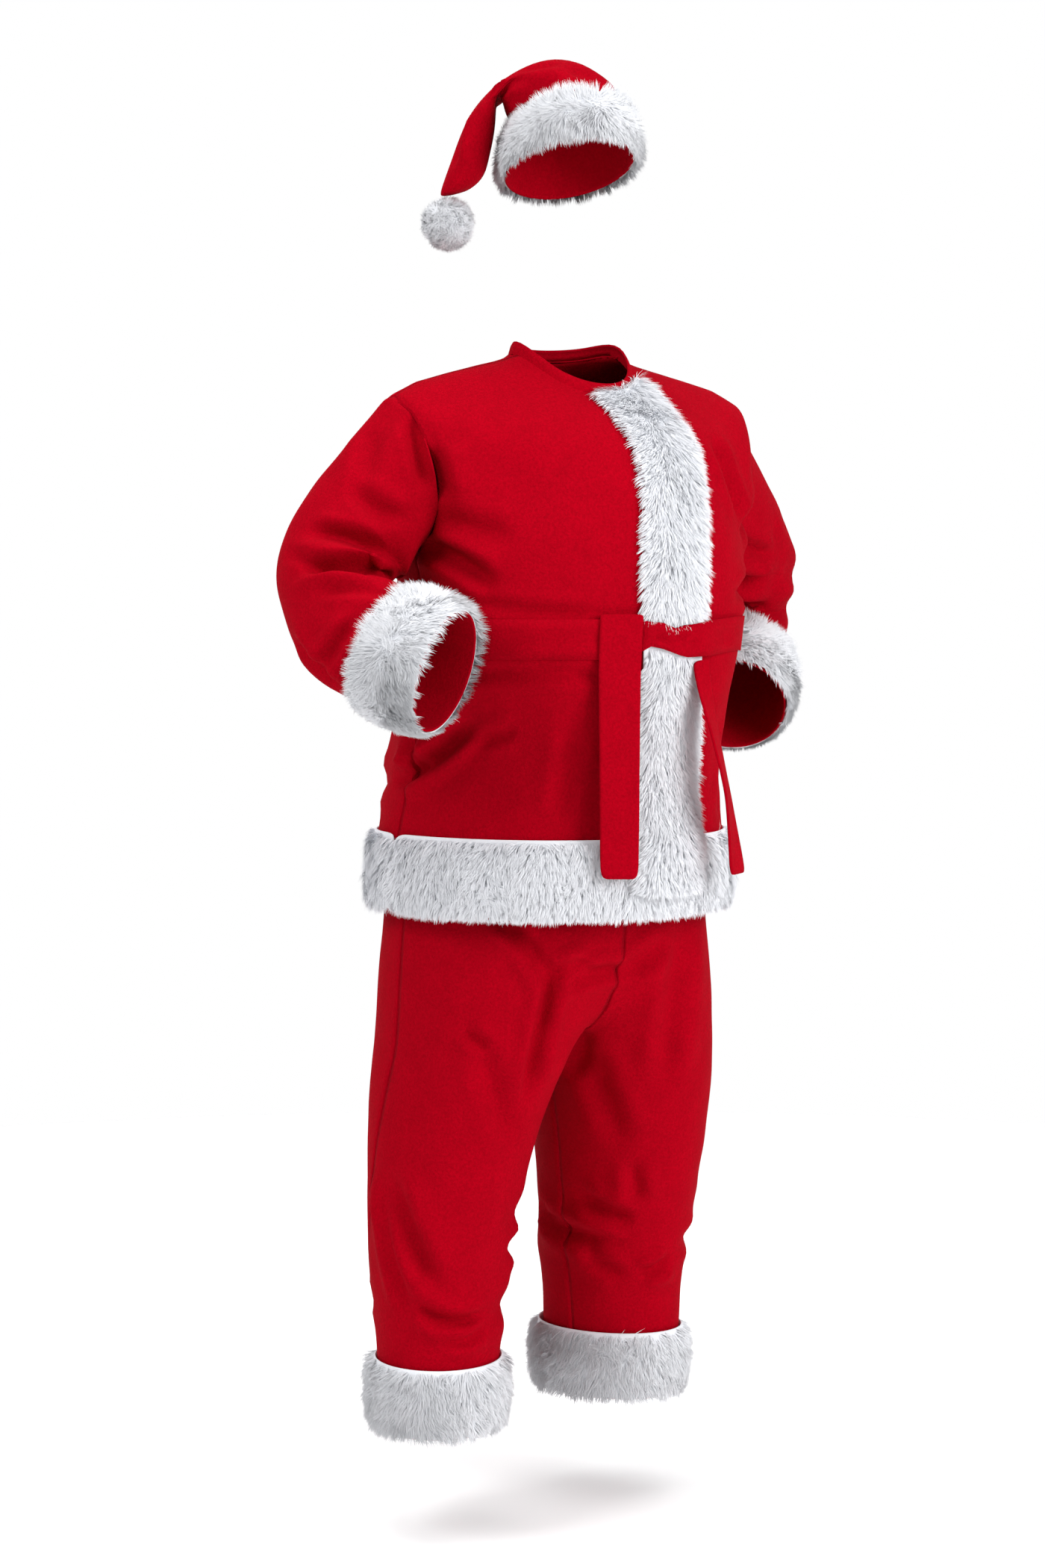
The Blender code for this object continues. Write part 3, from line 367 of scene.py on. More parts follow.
# A crease's section, in its widths: the trough's half width, and where its ridges are and how
# wide. A ridge is lower than the trough is deep, and depth_scale makes up for the soft section.
trough_half, ridge_place, ridge_width, ridge_share, depth_scale = 0.8, 1.6, 0.7, 0.6, 1.6
# A crease fades in over a share of its length, from a little way past its end, and fades out
# where the cloth turns away from the side that the crease is seen from
past_end, fade, turned_away, turn_fade = 0.12, 0.37, 0.05, 0.45


def creased(mesh, creases, unevenness=0.0016):
    """Presses creases into a mesh, each one a soft trough with a ridge on both sides. facing is
    the compass angle that it is seen from (0 the front, -34 the camera's side, -90 the wearer's
    right), across and up are metres from the middle and from the floor as seen from there, and
    bow is how far it sags at its middle."""
    points = points_of(mesh)
    outward = outward_of(mesh)
    place = points - np.array(floor_point)
    push = np.zeros(len(points))
    for row in creases:
        crease = dict(zip(crease_names, row))
        turn = math.radians(crease["facing"])
        right = np.array([math.cos(turn), math.sin(turn), 0.0])
        towards = np.array([math.sin(turn), -math.cos(turn), 0.0])
        across, up = place @ right, place[:, 2]
        run = np.array([crease["to_across"] - crease["across"], crease["to_up"] - crease["up"]])
        length = np.linalg.norm(run)
        run /= length
        along = ((across - crease["across"]) * run[0] + (up - crease["up"]) * run[1]) / length
        bow = crease["bow"] * 4 * np.clip(along, 0, 1) * (1 - np.clip(along, 0, 1))
        aside = (across - crease["across"]) * run[1] - (up + bow - crease["up"]) * run[0]
        aside = aside / crease["width"]
        ends = smooth((along + past_end) / fade) * smooth((1 + past_end - along) / fade)
        shown = smooth((outward @ towards - turned_away) / turn_fade)
        trough = np.exp(-((aside / trough_half) ** 2))
        ridges = np.exp(-((np.abs(aside) - ridge_place) ** 2) / ridge_width)
        push += (ridge_share * ridges - trough) * crease["depth"] * depth_scale * ends * shown
    # The cloth is also uneven by itself, in swells of about 90 mm and 40 mm
    for number, point in enumerate(place):
        soft = noise.noise(Vector(point) * 11.0) + 0.5 * noise.noise(Vector(point) * 24.0)
        push[number] += soft * unevenness
    set_points(mesh, points + outward * push[:, None])


def cloth_piece(name, mesh, node, thick=fleece_thick):
    """Gives a skin the cloth's thickness on its inner side, and puts it in its node's place."""
    mesh.name = name
    mesh.materials.clear()
    mesh.materials.append(red_fleece)
    item = add_object(name, mesh)
    wall = item.modifiers.new("wall", "SOLIDIFY")
    wall.thickness = thick
    wall.offset = -1.0
    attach(item, "root")
    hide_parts(node)
    return item


jacket_creases = [
    # the front, seen from the wearer's right: from the armhole towards the belly
    (-34, -0.143, 1.232, -0.062, 1.183, -0.006, 0.013, 0.009),
    (-34, -0.135, 1.345, -0.120, 1.285, 0.000, 0.014, 0.006),
    (-34, -0.125, 1.262, -0.040, 1.245, 0.004, 0.016, 0.004),
    # cloth puffed over the belt, and drawn in beneath it
    (-34, -0.090, 1.163, 0.065, 1.150, 0.003, 0.009, 0.003),
    (-34, -0.100, 1.078, 0.080, 1.076, -0.002, 0.010, 0.003),
    # a pouch of cloth at the right side below the belt, and its long slanting fold
    (-34, -0.188, 0.940, -0.090, 1.016, 0.010, 0.011, 0.010),
    (-34, -0.163, 0.998, -0.156, 0.950, 0.000, 0.009, 0.005),
    (-115, -0.120, 0.930, 0.040, 0.938, 0.000, 0.015, 0.003),
    (-34, -0.075, 0.998, -0.035, 1.008, 0.000, 0.010, 0.003),
    (-34, 0.020, 0.905, 0.035, 1.010, 0.000, 0.014, 0.003),
    # the left front
    (-10, 0.165, 1.360, 0.205, 1.270, 0.006, 0.012, 0.006),
    (20, 0.110, 1.245, 0.200, 1.300, 0.006, 0.014, 0.006),
    (20, 0.060, 1.170, 0.190, 1.195, 0.004, 0.013, 0.005),
    (10, 0.120, 0.900, 0.150, 1.040, 0.000, 0.014, 0.005),
    (30, 0.100, 1.070, 0.200, 1.055, 0.003, 0.010, 0.004),
    # the back
    (180, -0.190, 1.290, -0.070, 1.220, -0.010, 0.016, 0.007),
    (180, 0.200, 1.300, 0.080, 1.225, -0.008, 0.015, 0.007),
    (180, -0.060, 1.345, 0.090, 1.352, 0.012, 0.018, 0.004),
    (180, -0.150, 1.165, 0.020, 1.170, -0.006, 0.010, 0.004),
    (180, 0.040, 1.162, 0.170, 1.158, 0.004, 0.011, 0.004),
    (180, -0.140, 1.070, -0.110, 0.920, 0.000, 0.016, 0.004),
    (180, -0.030, 1.075, -0.045, 0.950, 0.000, 0.018, 0.003),
    (180, 0.090, 1.070, 0.120, 0.910, 0.000, 0.016, 0.004),
    (150, 0.180, 1.060, 0.130, 0.960, 0.006, 0.014, 0.006),
    (-150, -0.150, 1.050, -0.090, 0.960, 0.004, 0.013, 0.006),
]
right_sleeve_creases = [
    # deep folds across the inside of the elbow
    (-34, -0.275, 1.247, -0.190, 1.218, -0.008, 0.010, 0.008),
    (-34, -0.300, 1.220, -0.197, 1.200, 0.006, 0.009, 0.007),
    (-34, -0.292, 1.199, -0.170, 1.186, -0.010, 0.009, 0.008),
    (-34, -0.262, 1.176, -0.180, 1.172, -0.006, 0.008, 0.005),
    # hanging folds from the shoulder to the armpit
    (-34, -0.158, 1.380, -0.143, 1.302, 0.000, 0.011, 0.007),
    (-34, -0.205, 1.370, -0.216, 1.290, 0.000, 0.014, 0.004),
    (-34, -0.230, 1.300, -0.165, 1.262, 0.008, 0.012, 0.006),
    # from the elbow down to the cuff
    (-34, -0.222, 1.143, -0.262, 1.085, 0.000, 0.009, 0.006),
    (-60, -0.150, 1.120, -0.080, 1.060, 0.000, 0.011, 0.006),
    # the outer side and the back of the sleeve
    (-110, -0.060, 1.215, 0.060, 1.180, 0.008, 0.012, 0.006),
    (-110, -0.050, 1.160, 0.055, 1.145, -0.006, 0.010, 0.006),
    (-120, -0.080, 1.290, 0.030, 1.265, 0.006, 0.014, 0.005),
    (170, 0.270, 1.180, 0.350, 1.205, 0.004, 0.011, 0.007),
    (170, 0.250, 1.240, 0.320, 1.262, 0.004, 0.012, 0.006),
    (170, 0.260, 1.130, 0.340, 1.140, 0.004, 0.010, 0.006),
]
left_sleeve_creases = [
    (-34, 0.185, 1.330, 0.245, 1.270, 0.004, 0.012, 0.006),
    (-34, 0.215, 1.235, 0.300, 1.215, -0.006, 0.010, 0.008),
    (-34, 0.220, 1.200, 0.290, 1.188, 0.006, 0.009, 0.008),
    (-34, 0.235, 1.160, 0.295, 1.150, 0.004, 0.010, 0.007),
    (20, 0.290, 1.250, 0.350, 1.215, 0.006, 0.014, 0.003),
    (20, 0.300, 1.200, 0.355, 1.175, -0.006, 0.014, 0.002),
    (56, 0.060, 1.178, 0.180, 1.182, 0.004, 0.014, 0.004),
    (90, -0.020, 1.210, 0.120, 1.180, 0.010, 0.016, 0.003),
    (90, 0.010, 1.150, 0.140, 1.140, -0.008, 0.016, 0.003),
    (150, -0.360, 1.220, -0.270, 1.250, 0.004, 0.012, 0.006),
    (180, -0.370, 1.150, -0.290, 1.175, 0.004, 0.011, 0.007),
]

body_pieces = jacket_pieces + sleeve_pieces
sleeve_numbers = {body_pieces.index(name) for name in sleeve_pieces}
body_skin = subdivided(outer_skin(body_pieces), 2)
round_over(body_skin, sleeve_numbers, reach=0.045, rounds=30)
keep_outward(body_skin)
keep_seam_distance(body_skin)
for number, name in enumerate(body_pieces):
    # The pieces with the deepest creases are made finer once more
    finer = 1 if name in ("jacket_front_right", "sleeve_right") else 0
    mesh = one_piece(body_skin, number, finer)
    if name in sleeve_pieces:
        relax(mesh, 1.0, rounds=10 if finer else 3)
    if name == "sleeve_right":
        creased(mesh, right_sleeve_creases)
        relax(mesh, 1.0, rounds=4)
    elif name == "sleeve_left":
        creased(mesh, left_sleeve_creases)
    else:
        creased(mesh, jacket_creases)
    cloth_piece(f"{name}_cloth", mesh, name)

# ---------------------------------------------------------------- trousers and waistband
# Four pieces of the same fleece, cut full in the seat and thigh. Side seams and inseams are
# overlocked, and a cased elastic stands on top of them under the jacket.

trouser_pieces = [
    "trousers_front_right", "trousers_front_left", "trousers_back_right", "trousers_back_left",
]
trouser_creases = [
    # from the right hip down to the crotch, where both legs' cloth gathers
    (-34, -0.048, 0.780, 0.004, 0.700, -0.010, 0.012, 0.008),
    (-34, -0.010, 0.775, 0.018, 0.715, 0.004, 0.014, 0.004),
    (-34, 0.014, 0.728, -0.024, 0.560, 0.004, 0.010, 0.008),
    (-34, 0.012, 0.706, 0.055, 0.722, -0.006, 0.010, 0.007),
    (-34, 0.020, 0.696, 0.100, 0.708, -0.006, 0.010, 0.006),
    (-34, 0.100, 0.708, 0.150, 0.745, 0.004, 0.012, 0.004),
    (-34, -0.095, 0.640, -0.070, 0.622, 0.000, 0.010, 0.005),
    (-34, -0.075, 0.622, -0.040, 0.500, 0.004, 0.016, 0.005),
    (-34, 0.048, 0.628, 0.038, 0.560, 0.000, 0.013, 0.005),
    (-34, 0.048, 0.620, 0.100, 0.480, 0.010, 0.018, 0.005),
    (-34, 0.172, 0.760, 0.150, 0.560, 0.006, 0.016, 0.005),
    # lower right leg
    (-34, -0.190, 0.455, -0.135, 0.330, 0.006, 0.014, 0.008),
    (-34, -0.155, 0.302, -0.075, 0.286, 0.010, 0.011, 0.008),
    (-34, -0.125, 0.262, -0.072, 0.270, 0.006, 0.009, 0.005),
    (-60, -0.120, 0.440, -0.070, 0.300, 0.000, 0.012, 0.006),
    (50, -0.160, 0.402, -0.040, 0.404, 0.004, 0.020, 0.002),
    (50, -0.160, 0.292, -0.040, 0.288, 0.004, 0.018, 0.003),
    # lower left leg
    (-34, 0.045, 0.405, 0.112, 0.375, 0.004, 0.013, 0.007),
    (-34, 0.112, 0.450, 0.118, 0.400, 0.000, 0.012, 0.004),
    (-34, 0.122, 0.304, 0.160, 0.318, 0.006, 0.010, 0.006),
    (-34, 0.050, 0.340, 0.100, 0.300, 0.006, 0.012, 0.004),
    (56, 0.030, 0.340, 0.150, 0.346, 0.004, 0.014, 0.003),
    (70, 0.020, 0.440, 0.110, 0.400, 0.004, 0.018, 0.002),
    # the back of both legs: seat, knees and ankles
    (180, -0.160, 0.700, -0.020, 0.640, 0.012, 0.016, 0.008),
    (180, 0.160, 0.705, 0.020, 0.640, 0.012, 0.016, 0.008),
    (180, -0.150, 0.655, -0.030, 0.618, 0.008, 0.012, 0.006),
    (180, 0.150, 0.650, 0.030, 0.615, 0.008, 0.012, 0.006),
    (180, -0.180, 0.470, -0.070, 0.440, 0.010, 0.014, 0.007),
    (180, 0.080, 0.465, 0.200, 0.430, 0.010, 0.013, 0.007),
    (180, -0.190, 0.290, -0.080, 0.275, 0.008, 0.011, 0.007),
    (180, 0.090, 0.285, 0.230, 0.292, 0.008, 0.012, 0.007),
    (-120, -0.090, 0.380, 0.020, 0.345, 0.006, 0.014, 0.006),
    (120, -0.060, 0.380, 0.050, 0.350, 0.006, 0.013, 0.006),
]

legs_skin = subdivided(outer_skin(trouser_pieces), 2)
relax(legs_skin, 1.0, rounds=12)
keep_outward(legs_skin)
keep_seam_distance(legs_skin)
for number, name in enumerate(trouser_pieces):
    finer = 1 if "front" in name else 0
    mesh = one_piece(legs_skin, number, finer)
    creased(mesh, trouser_creases)
    cloth_piece(f"{name}_cloth", mesh, name)


def ring_of_cloth(node, name, creases=(), levels=2, thick=fleece_thick,
                  unevenness=0.0005, rounded_ends=0):
    """A piece that is one ring, tube or strip of cloth. rounded_ends gives its corners a small
    radius, in more levels of subdivision."""
    mesh = subdivided(outer_skin([node]), levels)
    if rounded_ends:
        step = bmesh.new()
        step.from_mesh(mesh)
        mesh = subdivided(step, rounded_ends, "ALL")
    keep_outward(mesh)
    keep_seam_distance(mesh)
    for polygon in mesh.polygons:
        polygon.use_smooth = True
    creased(mesh, creases, unevenness)
    return cloth_piece(name, mesh, node, thick=thick)


ring_of_cloth("waistband", "waistband_casing", thick=0.004)

# ---------------------------------------------------------------- belt
# A strip of the same fleece folded to about 48 mm and stitched along its edge. It goes round
# the waist over the front band and is tied once, so that its two ends hang in front.

belt_creases = [
    (-34, 0.130, 1.124, 0.170, 1.110, 0.002, 0.006, 0.003),
    (-34, 0.158, 1.136, 0.190, 1.114, 0.000, 0.006, 0.003),
    (-34, 0.190, 1.112, 0.235, 1.120, 0.002, 0.007, 0.002),
    (-34, -0.060, 1.118, 0.070, 1.121, 0.000, 0.007, 0.0015),
    (180, -0.150, 1.120, 0.050, 1.117, 0.002, 0.008, 0.002),
]
# The heights of the belt's two edges
belt_low, belt_high = 1.095, 1.143
# Where the belt comes out of its tie over the band it is drawn together: how far to the right
# of the middle as seen from the camera's side, and the heights of its two edges there
belt_edges = [
    (0.100, 1.0950, 1.1430),
    (0.128, 1.1110, 1.1400),
    (0.142, 1.1080, 1.1390),
    (0.160, 1.1010, 1.1310),
    (0.172, 1.0975, 1.1350),
    (0.204, 1.0985, 1.1410),
    (0.240, 1.1020, 1.1440),
    (0.270, 1.0950, 1.1430),
]
belt = ring_of_cloth(
    "belt", "belt_round_waist", belt_creases, thick=0.003,
)
camera_turn = math.radians(-34.0)
points = points_of(belt.data)
place = points - np.array(floor_point)
across = place @ np.array([math.cos(camera_turn), math.sin(camera_turn), 0.0])
in_front = place @ np.array([math.sin(camera_turn), -math.cos(camera_turn), 0.0]) > 0.0
places_across, low_edge, high_edge = np.array(belt_edges).T
share = (place[:, 2] - belt_low) / (belt_high - belt_low)
low = np.interp(across, places_across, low_edge)
high = np.interp(across, places_across, high_edge)
drawn = in_front & (across > places_across[0])
points[drawn, 2] = (low + (high - low) * share)[drawn] + floor_point[2]
set_points(belt.data, points)
belt_strips = [belt]
for node, flat in (("belt_end_flat", (0.052, 0.32)), ("belt_end_turned", (0.048, 0.28))):
    belt_strips.append(ring_of_cloth(
        node, f"{node}_strip", levels=1, rounded_ends=2, thick=0.003,
        unevenness=0.0014,
    ))

# ---------------------------------------------------------------- neck binding
# A narrow strip of the same fleece, folded over the neck's raw edge and stitched through. It
# stands up a little, and its lower edge lies on the jacket.

# What is within edge_reach of the jacket is put just over its edge, out from it and down, and
# the whole strip is puffed out a little
edge_reach, edge_out, edge_down, puff = 0.005, 0.002, 0.003, 0.0008
binding = ring_of_cloth(
    "neck_binding", "neck_edge_binding", thick=0.003,
)
jacket_points = nearest(points_of(body_skin))
bound = points_of(binding.data)
for number, point in enumerate(bound):
    near, _, gap = jacket_points.find(point)
    if gap < edge_reach:
        # The frame's upright axis goes through the middle of the neck
        out = Vector((point[0], point[1], 0)).normalized()
        bound[number] = near + out * edge_out - Vector((0, 0, edge_down))
set_points(binding.data, bound + outward_of(binding.data) * puff)

# ---------------------------------------------------------------- hat
# One cone of the same fleece with a seam behind. It is pulled over the head, and its end falls
# to one side with the pompom's weight.

hat_creases = [
    (-34, -0.060, 1.800, 0.020, 1.822, -0.006, 0.010, 0.005),
    (-34, -0.075, 1.775, -0.020, 1.800, -0.006, 0.008, 0.005),
    (-34, 0.030, 1.812, 0.080, 1.785, -0.006, 0.010, 0.004),
    (-34, -0.100, 1.770, -0.112, 1.700, 0.000, 0.007, 0.005),
    (150, 0.000, 1.790, 0.060, 1.812, -0.006, 0.010, 0.005),
    (60, -0.020, 1.800, 0.060, 1.790, -0.006, 0.010, 0.005),
    (120, 0.100, 1.760, 0.120, 1.690, 0.000, 0.008, 0.005),
]
ring_of_cloth("hat_cone", "hat_cloth", hat_creases,
              unevenness=0.0012)

# ---------------------------------------------------------------- faux fur trim
# Acrylic pile 18 to 20 mm long on a knitted backing, cut in strips and sewn over the edges.
# The pile stands in soft tufts, lies down along the strip and spreads past its edges.


def acrylic_pile(name, tip, root):
    """tip and root are the pile's colours at its two ends, root darker as painted shade deep in the
    pile; each hair also varies a little.
    """
    pile, tree, shader = new_material(name)
    place = add_node(tree, "ShaderNodeTexCoord").outputs["Object"]
    along = add_node(tree, "ShaderNodeAttribute", attribute_name="hair_shade_and_tone")
    colour = add_node(tree, "ShaderNodeMix", [("Factor", along.outputs["Fac"])], data_type="RGBA")
    # The root's darker colour is painted shade deep in the pile
    colour.inputs["A"].default_value = srgb(root)
    colour.inputs["B"].default_value = srgb(tip)
    # Tufts about 12 mm across shade the pile slightly
    tufts = add_node(tree, "ShaderNodeTexNoise", [("Vector", place)], Scale=85.0, Detail=2.0)
    shade = add_node(
        tree, "ShaderNodeMapRange", [("Value", tufts.outputs["Fac"])], From_Min=0.3, From_Max=0.7,
        To_Min=0.96, To_Max=1.0,
    )
    shaded = add_node(
        tree, "ShaderNodeMix", [("A", colour.outputs["Result"]), ("B", shade.outputs[0])],
        data_type="RGBA", blend_type="MULTIPLY", Factor=1.0,
    )
    tree.links.new(shaded.outputs["Result"], shader.inputs["Base Color"])
    shader.inputs["Roughness"].default_value = 0.7
    shader.inputs["Specular IOR Level"].default_value = 0.2
    return pile


# Its darker second colour, at the hairs' feet, is painted shade deep in the pile
white_pile = acrylic_pile("white_acrylic_pile", "#eff0f3", "#dee1e6")
# The noise that turns the nap starts from the clock unless it is seeded
random = np.random.default_rng(24)
noise.seed_set(24)


def fur_backing(node, keep, thickest_fur=0.024):
    """The dense lower part of the pile as a closed strip, from the cloth up to keep of the way
    to the tips. Returns its mesh and the nearest-point tree of the side on the cloth."""
    piece, walls, _ = solid_faces(node, thickest_fur, parallel=0.0)
    # The largest area is the pile's face, and the next one lies on the cloth
    inner = joined_areas(walls, math.radians(50))[1]
    inner_points = {vert for face in inner for vert in face.verts}
    piece.faces.index_update()
    numbers = {face.index for face in inner}
    under = piece.copy()
    under.faces.index_update()
    others = [face for face in under.faces if face.index not in numbers]
    bmesh.ops.delete(under, geom=others, context="FACES")
    tree = BVHTree.FromBMesh(under)
    under.free()
    for vert in piece.verts:
        if vert not in inner_points:
            near = tree.find_nearest(vert.co)[0]
            vert.co = near.lerp(vert.co, keep)
    bmesh.ops.join_triangles(
        piece, faces=piece.faces, angle_face_threshold=math.radians(40),
        angle_shape_threshold=math.pi,
    )
    mesh = subdivided(piece, 2)
    for polygon in mesh.polygons:
        polygon.use_smooth = True
    return mesh, tree


# Tufts: how many to a hair and the fewest, how far a tip and a middle are drawn to the tuft's
# middle and from how far off, and the widest turn of a tuft, in spreads
tuft_share, fewest_tufts, gather, middle_share, gather_reach = 0.035, 30, 0.14, 0.3, 0.02
widest_turn, own_turn_share = 1.7, 0.5
# Lengths and widths, as shares of those asked for
tuft_lengths, hair_lengths, hair_widths = (0.85, 1.15), (0.75, 1.1), (0.7, 1.2)
# Lean in radians: how it varies between hairs and between tufts, its limits, and the shares of
# it that a hair has in its first and last half
hair_lean, tuft_lean, least_lean, most_lean = 0.10, 0.08, 0.1, 1.35
first_lean, last_lean = 0.85, 1.15
# Tones are from 0 at the darkest to 1 at the tip, darker towards the foot as painted shade deep in
# the pile. The dense pile has the painted shade of a spike's foot.
painted_foot_shade, tone_variation = 0.3, 0.12
# The pile is shaded mostly like the surface that it makes: the shares of a hair's own side
spike_shading, blade_shading, shading_variation = 0.22, 0.18, 0.05


def strands(name, roots, normals, length, lean, flow, spread, width, round_hairs=False):
    """Hairs as one piece. Each leaves its root along the normal, leans over by lean in the
    direction of flow, and its tip is drawn towards the tip of its tuft. A hair is a narrow blade
    that bends at its middle, or a three-sided spike where the pile is also seen end-on."""
    count = len(roots)
    tuft_count = max(int(count * tuft_share), fewest_tufts)
    tuft_roots = roots[random.integers(0, count, tuft_count)]
    tufts = nearest(tuft_roots)
    tuft_of = np.array([tufts.find(point)[1] for point in roots])
    tuft_turn = random.normal(0.0, 1.0, (tuft_count, 3)).clip(-widest_turn, widest_turn) * spread
    own_turn = random.normal(0.0, 1.0, (count, 3)) * spread * own_turn_share
    side = flow + tuft_turn[tuft_of] + own_turn
    side = unit(side - normals * (side * normals).sum(axis=1, keepdims=True))
    leaning = lean + random.normal(0.0, hair_lean, count)
    leaning = leaning + random.normal(0, tuft_lean, tuft_count)[tuft_of]
    leaning = np.clip(leaning, least_lean, most_lean)[:, None]
    tuft_length = random.uniform(*tuft_lengths, tuft_count)[tuft_of]
    long = length * (random.uniform(*hair_lengths, count) * tuft_length)[:, None]
    first = normals * np.cos(leaning * first_lean) + side * np.sin(leaning * first_lean)
    last = normals * np.cos(leaning * last_lean) + side * np.sin(leaning * last_lean)
    middle = roots + first * long * 0.5
    tip = middle + last * long * 0.5
    apart = tuft_roots[tuft_of] - roots
    distance = np.linalg.norm(apart, axis=1, keepdims=True)
    drawn = gather * np.clip(1 - distance / gather_reach, 0, 1)
    middle = middle + apart * drawn * middle_share
    tip = tip + apart * drawn
    wide = unit(np.cross(side, normals))
    half = width * random.uniform(*hair_widths, count)[:, None] / 2
    lift = unit(np.cross(tip - roots, wide))
    if round_hairs:
        around = [
            wide * math.cos(turn) + lift * math.sin(turn)
            for turn in (0.0, math.radians(120), math.radians(240))
        ]
        points = np.stack([roots + way * half for way in around] + [tip], axis=1)
        feet = [normals * (1 - spike_shading) + way * spike_shading for way in around]
        shading = np.stack(feet + [normals], axis=1)
        corners, shade_along_hair = [0, 1, 3, 1, 2, 3, 2, 0, 3], [painted_foot_shade, painted_foot_shade, painted_foot_shade, 1.0]
    else:
        points = np.stack([roots, middle - wide * half, middle + wide * half, tip], axis=1)
        lift = lift * np.sign((lift * normals).sum(axis=1, keepdims=True) + 1e-9)
        shading = normals * (1 - blade_shading) + lift * blade_shading
        shading = np.repeat(shading[:, None, :], 4, axis=1)
        corners, shade_along_hair = [0, 2, 1, 1, 2, 3], [0.1, 0.6, 0.6, 1.0]
    loops = (np.arange(count)[:, None] * 4 + np.array(corners)[None, :]).ravel()
    faces = len(loops) // 3
    mesh = bpy.data.meshes.new(name)
    mesh.vertices.add(count * 4)
    mesh.vertices.foreach_set("co", points.astype(np.float32).ravel())
    mesh.loops.add(len(loops))
    mesh.loops.foreach_set("vertex_index", loops.astype(np.int32))
    mesh.polygons.add(faces)
    mesh.polygons.foreach_set("loop_start", np.arange(0, len(loops), 3, dtype=np.int32))
    mesh.polygons.foreach_set("loop_total", np.full(faces, 3, np.int32))
    mesh.polygons.foreach_set("use_smooth", np.ones(faces, bool))
    mesh.update()
    # Hairs are painted darker towards their feet, as shade deep in the pile, and vary at random in
    # tone
    shaded_tone = np.tile(shade_along_hair, (count, 1)) + random.normal(0, tone_variation, (count, 1))
    kept = mesh.attributes.new("hair_shade_and_tone", "FLOAT", "POINT")
    kept.data.foreach_set("value", np.clip(shaded_tone, 0, 1).astype(np.float32).ravel())
    shading = shading + random.normal(0, shading_variation, (count, 1, 3))
    mesh.normals_split_custom_set_from_vertices(unit(shading.reshape(-1, 3)).tolist())
    mesh.materials.append(white_pile)
    return add_object(name, mesh)


def dense_pile(name, mesh):
    """Puts a mesh in the scene as the pile's dense lower part, in the painted shade of a spike's
    foot.
    """
    mesh.name = name
    mesh.materials.clear()
    mesh.materials.append(white_pile)
    shaded_tone = mesh.attributes.new("hair_shade_and_tone", "FLOAT", "POINT")
    shaded_tone.data.foreach_set("value", np.full(len(mesh.vertices), painted_foot_shade, np.float32))
    return add_object(name, mesh)


def places_on(mesh, count, allowed):
    """Evenly scattered points on the allowed triangles of a mesh, with their normals."""
    mesh.calc_loop_triangles()
    corners = np.empty(len(mesh.loop_triangles) * 3, np.int32)
    mesh.loop_triangles.foreach_get("vertices", corners)
    corners = corners.reshape(-1, 3)
    points, normals = points_of(mesh), normals_of(mesh)
    corners = corners[allowed(points[corners].mean(axis=1))]
    corner_points = points[corners]
    first_side = corner_points[:, 1] - corner_points[:, 0]
    second_side = corner_points[:, 2] - corner_points[:, 0]
    area = np.linalg.norm(np.cross(first_side, second_side), axis=1)
    chosen = random.choice(len(corners), count, p=area / area.sum())
    first, second = random.uniform(0, 1, (2, count))
    swap = first + second > 1
    first[swap], second[swap] = 1 - first[swap], 1 - second[swap]
    shares = np.stack([1 - first - second, first, second], axis=1)[..., None]
    spots = (corner_points[chosen] * shares).sum(axis=1)
    return spots, unit((normals[corners[chosen]] * shares).sum(axis=1))


cover = bmesh.new()
for strip in belt_strips:
    cover.from_mesh(strip.data)
cover_tree = BVHTree.FromBMesh(cover)
cover.free()


def not_covered(roots, normals, length=0.022, from_below=0.004):
    """The places of the roots that no belt lies over, so that no hair goes through it."""
    free = []
    for number, (root, normal) in enumerate(zip(roots, normals)):
        start = Vector(root) - Vector(normal) * from_below
        ways = (Vector(normal), Vector(normal) + Vector((0, 0, -0.5)))
        if all(cover_tree.ray_cast(start, way.normalized(), length)[0] is None for way in ways):
            free.append(number)
    return np.array(free)


def drift_of(roots, size, strength):
    """A slow wander of the nap, which turns about every size metres."""
    made = [noise.noise_vector(Vector(root) / size) for root in roots]
    return np.array([tuple(way) for way in made]) * strength


def room_below(roots, cell_size=0.02, hang=0.011, full_at=0.016, shortest=0.6):
    """How long each hair can be, as a share of its length, to end near the lower edge. It may
    hang past the edge a little, and has its full length from full_at above that."""
    cells = {}
    for root in roots:
        cell = (round(root[0] / cell_size), round(root[1] / cell_size))
        cells[cell] = min(cells.get(cell, root[2]), root[2])
    lowest = []
    for root in roots:
        right, back = round(root[0] / cell_size), round(root[1] / cell_size)
        lowest.append(min(
            cells.get((right + aside, back + behind), root[2])
            for aside in (-1, 0, 1) for behind in (-1, 0, 1)
        ))
    return np.clip((roots[:, 2] - np.array(lowest) + hang) / full_at, shortest, 1.0)


# A hair's root is root_depth in the dense pile, and none grows within the knitted backing's
# thickness of the cloth. The nap wanders by drift_strength over drift_size. Where the top is
# bare, no hair stands on what faces up, and all of them point down by least_down or more.
root_depth, backing_thick, drift_size, drift_strength = 0.001, 0.0022, 0.05, 0.8
facing_up, least_down = 0.6, -0.4


